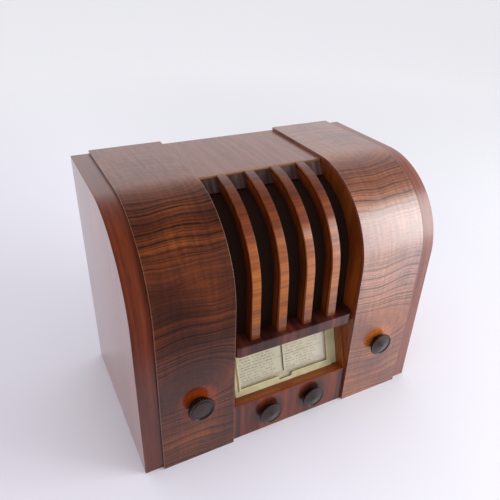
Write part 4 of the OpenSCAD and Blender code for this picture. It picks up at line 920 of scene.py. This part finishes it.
# %% Bezel
# urea resin, moulded glossy: ivory when new, now yellowed in clouds of about 17 mm, and a
# little translucent, with a faint grain every 0.6 mm
ivory, tree = new_material("moulded_ivory_urea_resin")
place = add(tree, "ShaderNodeTexCoord")
mottle = add(tree, "ShaderNodeTexNoise", {"Vector": place.outputs["Object"], "Scale": 60.0,
                                          "Detail": 4.0})
body = add(tree, "ShaderNodeValToRGB", {0: mottle}, [(0.35, "B7AC85"), (0.65, "C9BF99")])
grain = add(tree, "ShaderNodeTexNoise", {"Vector": place.outputs["Object"], "Scale": 1800.0,
                                         "Detail": 2.0})
bump = add(tree, "ShaderNodeBump", {"Height": grain, "Strength": 0.05, "Distance": 0.1 * mm})
shader = add(tree, "ShaderNodeBsdfPrincipled", {
    "Base Color": body, "Roughness": 0.34, "IOR": 1.5, "Subsurface Weight": 0.1,
    "Subsurface Radius": (3 * mm, 2 * mm, 1 * mm), "Subsurface Scale": 0.5, "Normal": bump})
add(tree, "ShaderNodeOutputMaterial", {"Surface": shader})
make(copy_of("dial_bezel"), "dial_bezel_eased", ivory, nodes=["dial_bezel"], ease=0.35 * mm,
     segments=3)
bezel_low, bezel_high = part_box("dial_bezel")
print("bezel:", [round(v / mm, 1) for v in bezel_high - bezel_low], "mm")

# %% Scale and ink
# celluloid sheet, rolled and printed: cream, half matt, with faint stains 45 mm across
scale_paper, tree = new_material("printed_celluloid_scale")
place = add(tree, "ShaderNodeTexCoord")
stains = add(tree, "ShaderNodeTexNoise", {"Vector": place.outputs["Object"], "Scale": 22.0,
                                          "Detail": 4.0})
body = add(tree, "ShaderNodeValToRGB", {0: stains}, [(0.3, "F0E4C6"), (0.7, "FAF1D8")])
shader = add(tree, "ShaderNodeBsdfPrincipled", {"Base Color": body, "Roughness": 0.5,
                                                "IOR": 1.49})
add(tree, "ShaderNodeOutputMaterial", {"Surface": shader})
finish_node("dial_scale", scale_paper)
# oil ink, printed from a plate: a grey green that has worn lighter in spots of 2 mm
ink, tree = new_material("grey_green_printing_ink")
place = add(tree, "ShaderNodeTexCoord")
wear = add(tree, "ShaderNodeTexNoise", {"Vector": place.outputs["Object"], "Scale": 500.0,
                                        "Detail": 2.0})
body = add(tree, "ShaderNodeValToRGB", {0: wear}, [(0.35, "525140"), (0.7, "716D58")])
shader = add(tree, "ShaderNodeBsdfPrincipled", {"Base Color": body, "Roughness": 0.6})
add(tree, "ShaderNodeOutputMaterial", {"Surface": shader})
print("scale and its ink:", scale_paper.name, ink.name)

# %% Window glass
# drawn glass: clear, with a weak mirror at a slant that smudges of 55 mm make uneven
glass, tree = new_material("drawn_window_glass")
place = add(tree, "ShaderNodeTexCoord")
smudge = add(tree, "ShaderNodeTexNoise", {"Vector": place.outputs["Object"], "Scale": 18.0,
                                          "Detail": 3.0})
rough = add(tree, "ShaderNodeMapRange", {"Value": smudge, "From Min": 0.4, "From Max": 0.7,
                                         "To Min": 0.03, "To Max": 0.09})
clear = add(tree, "ShaderNodeBsdfTransparent", {"Color": "FFFFFF"})
mirror = add(tree, "ShaderNodeBsdfGlossy", {"Color": "FFFFFF", "Roughness": rough})
edge_on = add(tree, "ShaderNodeFresnel", {"IOR": 1.4})
shader = add(tree, "ShaderNodeMixShader", {0: edge_on, 1: clear, 2: mirror})
add(tree, "ShaderNodeOutputMaterial", {"Surface": shader})
finish_node("dial_glass", glass)
print("dial glass:", glass.name)

# %% [markdown]
# The scale lies a little behind the bezel, and a thin liner closes the gap round the window, so
# that the lamps' light doesn't leak and no dark line shows. It could be part of the bezel, but
# then the bezel could not be drawn from its mould. It is made of straight bars, laid out in the
# dial's own directions: across it, up its slope and out of its face.

# %% Window liner
# where the dial's own directions start: the middle of its foot
DIAL_LEAN = math.radians(17)
DIAL_PLACE = Vector((0, BACK - 219.5 * mm, 58 * mm))
# all in mm. Across: the window's half width, the liner's outside, the band window's half
# width, and how far the band marker reaches to each side
WINDOW_HALF, LINER_OUTSIDE, NOTCH_HALF, MARKER_REACH = 65.3, 66.6, 10.4, 49.5
# up the slope: the liner's foot, the window's lower edge, and the top under the sill
LINER_FOOT, WINDOW_FOOT, LINER_TOP = 6.7, 8, 75
# out of the face: just in front of the scale, in front of the marker, and behind the glass
SCALE_FRONT, MARKER_FRONT, GLASS_BACK = -6.4, -5.0, -4.05


def on_dial(u, v, n):
    """A matrix that lays a flat mesh on the dial: u across, v up the slope, n out of it."""
    lean = Matrix.Rotation(math.pi / 2 - DIAL_LEAN, 4, "X")
    return Matrix.Translation(DIAL_PLACE) @ lean @ Matrix.Translation((u, v, n))


def bar(bm, u0, u1, v0, v1, n0, n1):
    """Add one straight bar of the liner, given in the dial's own directions."""
    made = bmesh.ops.create_cube(bm, size=1)["verts"]
    bmesh.ops.scale(bm, verts=made, vec=((u1 - u0) * mm, (v1 - v0) * mm, (n1 - n0) * mm))
    middle = [(a + b) / 2 * mm for a, b in ((u0, u1), (v0, v1), (n0, n1))]
    bmesh.ops.transform(bm, verts=made, matrix=on_dial(*middle))


bm = bmesh.new()
for side in (-1, 1):
    for inner, outer, foot, top, back, front in (
            (WINDOW_HALF, LINER_OUTSIDE, LINER_FOOT, LINER_TOP, SCALE_FRONT, GLASS_BACK),
            (NOTCH_HALF, WINDOW_HALF, LINER_FOOT, WINDOW_FOOT, MARKER_FRONT, GLASS_BACK),
            (MARKER_REACH, WINDOW_HALF, LINER_FOOT, WINDOW_FOOT, SCALE_FRONT, MARKER_FRONT)):
        near, far = sorted((side * inner, side * outer))
        bar(bm, near, far, foot, top, back, front)
# the liner takes the scale's paler finish, not the bezel's ivory, as painted light that softens
# the shade in the gap
make(bm, "dial_window_liner", scale_paper, ease=0.1 * mm)
print("liner:", round(LINER_TOP - LINER_FOOT, 1), "mm high")

# %% [markdown]
# The scale was printed from a plate with two columns of small type and ruled lines between
# them. A drawn texture would blur from near by. So the print is real geometry: rows of plain
# numbers and dashes, made as text, turned to a mesh and laid on the leaning plate.

# %% Dial print
SCALE_FACE = -6.5 * mm
# the count of rows, and in mm where the first one lies and how far apart they are
PRINT_ROWS, FIRST_ROW, ROW_PITCH = 16, 12.6, 3.9
# each column's ends, and the gaps that there may be between its words
COLUMNS = ((-62.5, -2.5, (0.8, 1.2, 2.6)), (3.5, 62.5, (1.0, 2.0, 6.0)))
# the type's sizes, the width of a letter, and room for the longest word
TYPE_SIZES = (1.9, 2.2, 2.5)
TYPE_WIDTH = 1.25
LONGEST_WORD = 12
# the heights of the ruled lines, and their length and width
RULES_AT = (10.6, 32.5, 51.0, 74.4)
RULE_LENGTH, RULE_WIDTH = 127, 0.25
random.seed(11)


def print_line(text, size, u, v, align="LEFT"):
    """A line of characters as a flat mesh, laid on the scale."""
    curve = bpy.data.curves.new("line", "FONT")
    curve.body, curve.size, curve.align_x = text, size, align
    curve.resolution_u = 2
    holder = bpy.data.objects.new("line", curve)
    mesh = bpy.data.meshes.new_from_object(holder)
    mesh.transform(on_dial(u, v, SCALE_FACE + 0.03 * mm))
    bpy.data.objects.remove(holder)
    return mesh


lines = []
for row in range(PRINT_ROWS):
    for left, right, gaps in COLUMNS:
        along = left + random.uniform(0, 4)
        while along < right - LONGEST_WORD:
            word = "-".join("%d" % random.randint(15, 1990)
                            for _ in range(random.choice((1, 2, 2, 3))))
            lines.append(print_line(word, random.choice(TYPE_SIZES) * mm, along * mm,
                                    (FIRST_ROW + row * ROW_PITCH) * mm))
            along += TYPE_WIDTH * len(word) + random.choice(gaps)
bm = bmesh.new()
for mesh in lines:
    bm.from_mesh(mesh)
    bpy.data.meshes.remove(mesh)
# ruled lines between the bands
for v in RULES_AT:
    made = bmesh.ops.create_grid(bm, x_segments=1, y_segments=1, size=0.5)["verts"]
    bmesh.ops.scale(bm, verts=made, vec=(RULE_LENGTH * mm, RULE_WIDTH * mm, 1))
    bmesh.ops.transform(bm, verts=made, matrix=on_dial(0, v * mm, SCALE_FACE + 0.04 * mm))
print("print faces:", len(bm.faces))
make(bm, "scale_print", ink)

# %% [markdown]
# ## Knobs
# The knobs are pressed from phenolic resin, dark brown and nearly black, with a dull shine.
# Each widens from the wood to its rim and ends in a low cone, whose fine rings are those of the
# lathe that cut the mould. A cylinder with a texture would show a smooth outline. So each is
# turned from one ring, pulled forward and widened step by step. Where a ring carries flutes,
# its radius follows a wave: 30 coarse ones on the volume knob, and 50 fine ribs on the others.

# %% Knob resin
# phenolic resin and wood flour, pressed hot in a bright mould: a brown black, marbled every
# 11 mm where it flowed, and glossy from the mould and years of fingers
knob_resin, tree = new_material("pressed_brown_phenolic_resin")
place = add(tree, "ShaderNodeTexCoord")
flow = add(tree, "ShaderNodeTexNoise", {"Vector": place.outputs["Object"], "Scale": 90.0,
                                        "Detail": 3.0, "Roughness": 0.5, "Distortion": 0.8})
body = add(tree, "ShaderNodeValToRGB", {0: flow}, [(0.3, "1E1110"), (0.55, "2C1A18"),
                                                   (0.75, "3A2622")])
rough = add(tree, "ShaderNodeMapRange", {"Value": flow, "From Min": 0.3, "From Max": 0.7,
                                         "To Min": 0.16, "To Max": 0.24})
bump = add(tree, "ShaderNodeBump", {"Height": flow, "Strength": 0.03, "Distance": 0.1 * mm})
shader = add(tree, "ShaderNodeBsdfPrincipled", {"Base Color": body, "Roughness": rough,
                                                "IOR": 1.46, "Normal": bump})
add(tree, "ShaderNodeOutputMaterial", {"Surface": shader})
print("knob material:", knob_resin.name)

# %% Turned shapes
# above 1 the flutes get narrower and the ribs between them broader
FLUTE_SHARPNESS = 1.5


def turned(rings, segments, flutes=0):
    """A body turned about the forward axis. A ring is (radius, reach, flute depth)."""
    bm = bmesh.new()
    bmesh.ops.create_circle(bm, segments=segments, radius=1.0)
    ring, edges = bm.verts[:], bm.edges[:]
    first = ring
    for number, (radius, reach, depth) in enumerate(rings):
        if number:
            pulled = bmesh.ops.extrude_edge_only(bm, edges=edges)["geom"]
            ring = [g for g in pulled if isinstance(g, bmesh.types.BMVert)]
            fresh = set(ring)
            edges = [g for g in pulled if isinstance(g, bmesh.types.BMEdge)
                     and fresh.issuperset(g.verts)]
        for vert in ring:
            angle = math.atan2(vert.co.y, vert.co.x)
            wave = (0.5 - 0.5 * math.cos(flutes * angle)) ** FLUTE_SHARPNESS if depth else 0.0
            size = radius - depth * wave
            vert.co = Vector((math.cos(angle) * size, math.sin(angle) * size, reach))
    for end, reach in ((first, rings[0][1]), (ring, rings[-1][1])):
        bmesh.ops.pointmerge(bm, verts=end, merge_co=(0, 0, reach))
    bmesh.ops.remove_doubles(bm, verts=bm.verts, dist=0.001 * mm)
    bmesh.ops.recalc_face_normals(bm, faces=bm.faces)
    bmesh.ops.rotate(bm, verts=bm.verts, cent=(0, 0, 0),
                     matrix=Matrix.Rotation(math.pi / 2, 3, "X"))
    return bm


def knob(node, body, rings, segments, flutes=0):
    """Place a turned knob where its solid is; reaches count from the solid's back."""
    low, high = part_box(node)
    bm = turned([tuple(v * mm for v in ring) for ring in rings], segments, flutes)
    bmesh.ops.translate(bm, verts=bm.verts, vec=((low.x + high.x) / 2, high.y,
                                                 (low.z + high.z) / 2))
    return make(bm, node + "_pressed", knob_resin, body, [node], limit=50)


def turned_face(outer, low, inner, high, pitch=0.6, depth=0.045):
    """A cone with the lathe's rings, drawn about twice as wide as real ones so that they show."""
    steps = round((outer - inner) / pitch)
    return [(outer + (inner - outer) * i / steps,
             low + (high - low) * i / steps - (depth if i % 2 else 0), 0)
            for i in range(steps + 1)]


print("a cone of 10 mm has", len(turned_face(10.9, 0, 1.2, 1)), "rings")

# %% Knobs
# a ring is (radius, reach from the wood, flute depth) in mm, and H is the tip's reach
OUTER_H = (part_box("volume_knob")[1].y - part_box("volume_knob")[0].y) / mm
LOWER_H = (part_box("tone_knob")[1].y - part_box("tone_knob")[0].y) / mm
H = OUTER_H
# coarse flutes, a broad rim with a groove and a raised ring, and a flat cone
knob("volume_knob", "volume_control", [
    (4.0, 0, 0), (11.6, 0, 0), (12.1, 0.3, 0.3), (12.7, 1.6, 1.1), (14.1, 4.0, 1.8),
    (15.5, 6.2, 2.1), (16.3, H - 4.0, 2.1), (16.5, H - 3.0, 2.1), (16.5, H - 2.2, 1.9),
    (16.3, H - 1.4, 1.2), (15.7, H - 0.8, 0.4), (15.2, H - 0.6, 0), (14.4, H - 0.6, 0),
    (14.0, H - 0.9, 0), (13.7, H - 1.6, 0), (13.0, H - 1.6, 0), (12.7, H - 1.0, 0),
    (12.0, H - 0.9, 0), (11.8, H - 1.3, 0), (11.2, H - 1.3, 0),
    *turned_face(10.9, H - 1.1, 1.2, H - 0.2), (0.5, H, 0)], 300, 30)
# fine ribs, a narrow rim with one groove, and a taller cone
knob("wave_knob", "wave_control", [
    (4.0, 0, 0), (11.6, 0, 0), (12.1, 0.3, 0.2), (12.8, 1.6, 0.6), (14.2, 3.9, 0.9),
    (15.5, 5.8, 1.0), (16.3, H - 5.2, 1.0), (16.5, H - 4.6, 1.0), (16.5, H - 4.2, 0.9),
    (16.3, H - 3.5, 0.6), (15.8, H - 3.0, 0.1), (15.3, H - 2.9, 0), (14.9, H - 3.0, 0),
    (14.6, H - 3.5, 0), (14.1, H - 3.6, 0),
    *turned_face(13.7, H - 3.5, 1.2, H - 0.3), (0.5, H, 0)], 300, 50)
H = LOWER_H
# the lower pair: as the last, a little smaller
for node, body in (("tone_knob", "tone_control"), ("tuning_knob", "tuning_control")):
    knob(node, body, [
        (4.0, 0, 0), (10.6, 0, 0), (11.1, 0.3, 0.2), (12.0, 1.8, 0.5), (13.6, 3.9, 0.7),
        (15.0, 5.8, 0.8), (15.8, H - 5.0, 0.8), (16.0, H - 4.4, 0.8), (16.0, H - 4.0, 0.7),
        (15.8, H - 3.3, 0.5), (15.3, H - 2.8, 0.1), (14.9, H - 2.7, 0), (14.5, H - 2.8, 0),
        (14.2, H - 3.3, 0), (13.8, H - 3.4, 0),
        *turned_face(13.4, H - 3.3, 1.2, H - 0.3), (0.5, H, 0)], 300, 50)
print("knob heights:", round(OUTER_H, 2), round(LOWER_H, 2), "mm")

# %% [markdown]
# ## Small parts and the works
# Inside stand the chassis with its tubes, cans and transformer, the tuning gear and the
# loudspeaker. They could be left grey, since most is seen only through the slots in the back,
# but a model that comes apart shows them all. So each keeps its solid and gets a finish. The
# pattern's number is its count of patches per metre: 120 is one every 8 mm.

# %% Metals and insulators
def plain(name, dark, light, scale, roughness, metallic=0.0, rough_span=0.08, bumpy=0.05):
    """A moulded, rolled or painted surface: two tones, and a roughness that varies."""
    material, tree = new_material(name)
    place = add(tree, "ShaderNodeTexCoord")
    noise = add(tree, "ShaderNodeTexNoise", {"Vector": place.outputs["Object"],
                                             "Scale": scale, "Detail": 4.0})
    body = add(tree, "ShaderNodeValToRGB", {0: noise}, [(0.3, dark), (0.7, light)])
    rough = add(tree, "ShaderNodeMapRange", {
        "Value": noise, "From Min": 0.3, "From Max": 0.7,
        "To Min": roughness - rough_span, "To Max": roughness + rough_span})
    bump = add(tree, "ShaderNodeBump", {"Height": noise, "Strength": bumpy,
                                        "Distance": 0.2 * mm})
    shader = add(tree, "ShaderNodeBsdfPrincipled", {
        "Base Color": body, "Roughness": rough, "Metallic": metallic, "Normal": bump})
    add(tree, "ShaderNodeOutputMaterial", {"Surface": shader})
    return material


# sheet steel with a plated skin of zinc: pale grey, satin, in soft patches
zinc = plain("zinc_plated_steel", "8D8F8E", "B5B6B2", 120, 0.36, 1.0)
# bar turned on a lathe and left bare: the brightest metal here, with a silky gleam
shaft_steel = plain("turned_steel", "9A9B9C", "C2C2C0", 300, 0.28, 1.0)
# screws blackened in hot oil: dark grey, brighter where the skin has worn
screw_steel = plain("blackened_screw_steel", "4A4744", "6B6762", 200, 0.4, 1.0)
# sheet spun over a former: light, cool and even
aluminium = plain("spun_aluminium", "B4B6B8", "D0D2D3", 90, 0.34, 1.0)
# turned and never lacquered: yellow that has gone brown in places
brass = plain("turned_brass", "8E6E35", "B8924C", 200, 0.34, 1.0)
# stacked sheets dipped in varnish: nearly black, half metal and half resin to the eye
core_steel = plain("varnished_laminated_steel", "2E2F32", "4A4C50", 150, 0.5, 0.6)
# paper soaked in resin and pressed to board: dark brown and half matt
phenolic = plain("phenolic_paper_board", "3A2216", "54331F", 160, 0.45)
# paper wound over the wire and varnished: amber brown with a dull gloss
winding = plain("varnished_winding_paper", "6A3E1C", "8C5A2A", 120, 0.5)
# enamel baked on pressed steel: an even black with some shine
black_paint = plain("black_stove_enamel", "121212", "222121", 240, 0.42)
# paper pulp pressed on a screen: charcoal, felted and without shine
cone_paper = plain("pressed_paper_cone", "1D1917", "322B27", 420, 0.85, bumpy=0.3)
# vulcanised in a mould: black and dull
rubber = plain("moulded_black_rubber", "141414", "222222", 300, 0.7)
# flax, twisted and drawn through wax: grey brown, rough with fibres
cord_fibre = plain("waxed_flax_cord", "3E352B", "64563F", 900, 0.75, bumpy=0.3)
# thin steel brushed with black paint: it looks brown grey behind the glass
pointer_paint = plain("black_painted_pointer_steel", "26221C", "3C362C", 200, 0.5)
# blown glass etched inside: a milky, warm white that hides the filament
lamp_glass = plain("frosted_lamp_glass", "E4DCC4", "F2ECDA", 80, 0.3)
# wood pulp pressed and dried: speckled brown, rough, quite without shine
fibreboard = plain("pressed_brown_fibreboard", "4C3626", "6B4E38", 340, 0.8, bumpy=0.35)
# card printed in cream, drawn paler as painted light since it lies in the notch's shade: smooth
# and half matt
band_print = plain("cream_printed_strip", "EDE3BE", "F8F0D2", 70, 0.5)
print("sixteen finishes, from", zinc.name, "to", band_print.name)

# %% Tube glass
# the silver mirror inside a bulb ends in a soft edge between these heights
GETTER_FOOT, GETTER_FULL = 150 * mm, 172 * mm
# blown glass, pumped empty: clear below, and above a dark mirror where the getter burned,
# whose edge sways every 17 mm
tube_glass, tree = new_material("blown_and_silvered_tube_glass")
place = add(tree, "ShaderNodeTexCoord")
parts = add(tree, "ShaderNodeSeparateXYZ", {0: place.outputs["Object"]})
haze = add(tree, "ShaderNodeTexNoise", {"Vector": place.outputs["Object"], "Scale": 60.0,
                                        "Detail": 3.0})
height = add(tree, "ShaderNodeMath", {0: haze, 1: 0.03, 2: parts.outputs["Z"]},
             operation="MULTIPLY_ADD")
getter = add(tree, "ShaderNodeMapRange", {"Value": height, "From Min": GETTER_FOOT,
                                          "From Max": GETTER_FULL, "To Max": 0.85})
clear = add(tree, "ShaderNodeBsdfTransparent", {"Color": "DDE3E2"})
mirror = add(tree, "ShaderNodeBsdfGlossy", {"Color": "FFFFFF", "Roughness": 0.04})
silver = add(tree, "ShaderNodeBsdfPrincipled", {"Base Color": "3A3D42", "Metallic": 1.0,
                                                "Roughness": 0.12})
edge_on = add(tree, "ShaderNodeFresnel", {"IOR": 1.5})
wall = add(tree, "ShaderNodeMixShader", {0: edge_on, 1: clear, 2: mirror})
shader = add(tree, "ShaderNodeMixShader", {0: getter, 1: wall, 2: silver})
add(tree, "ShaderNodeOutputMaterial", {"Surface": shader})
print("tube glass:", tube_glass.name)

# %% Solids that stay
for material, nodes in (
        (screw_steel, ("back_cover_screws", "chassis_bolts")),
        (zinc, ("dial_frame", "chassis", "gang_frame")),
        (shaft_steel, ("volume_shaft", "tone_shaft", "tuning_shaft", "wave_shaft")),
        (aluminium, ("coil_cans", "filter_capacitor", "gang_rotor")),
        (brass, ("drive_drum", "guide_pulley")),
        (core_steel, ("transformer_core", "speaker_magnet")),
        (phenolic, ("potentiometers", "wave_switch", "tube_sockets", "terminal_strip")),
        (winding, ("transformer_winding",)),
        (black_paint, ("speaker_basket",)),
        (cone_paper, ("speaker_cone",)),
        (rubber, ("mains_grommet",)),
        (cord_fibre, ("drive_cord",)),
        (pointer_paint, ("dial_pointer",)),
        (lamp_glass, ("dial_lamps",)),
        (band_print, ("band_indicator",)),
        (knob_resin, ("tube_bases",)),
        (tube_glass, ("detector_tube", "output_tube", "rectifier_tube"))):
    for node in nodes:
        finish_node(node, material)
make(copy_of("back_cover"), "back_cover_punched", fibreboard, nodes=["back_cover"],
     ease=0.5 * mm)
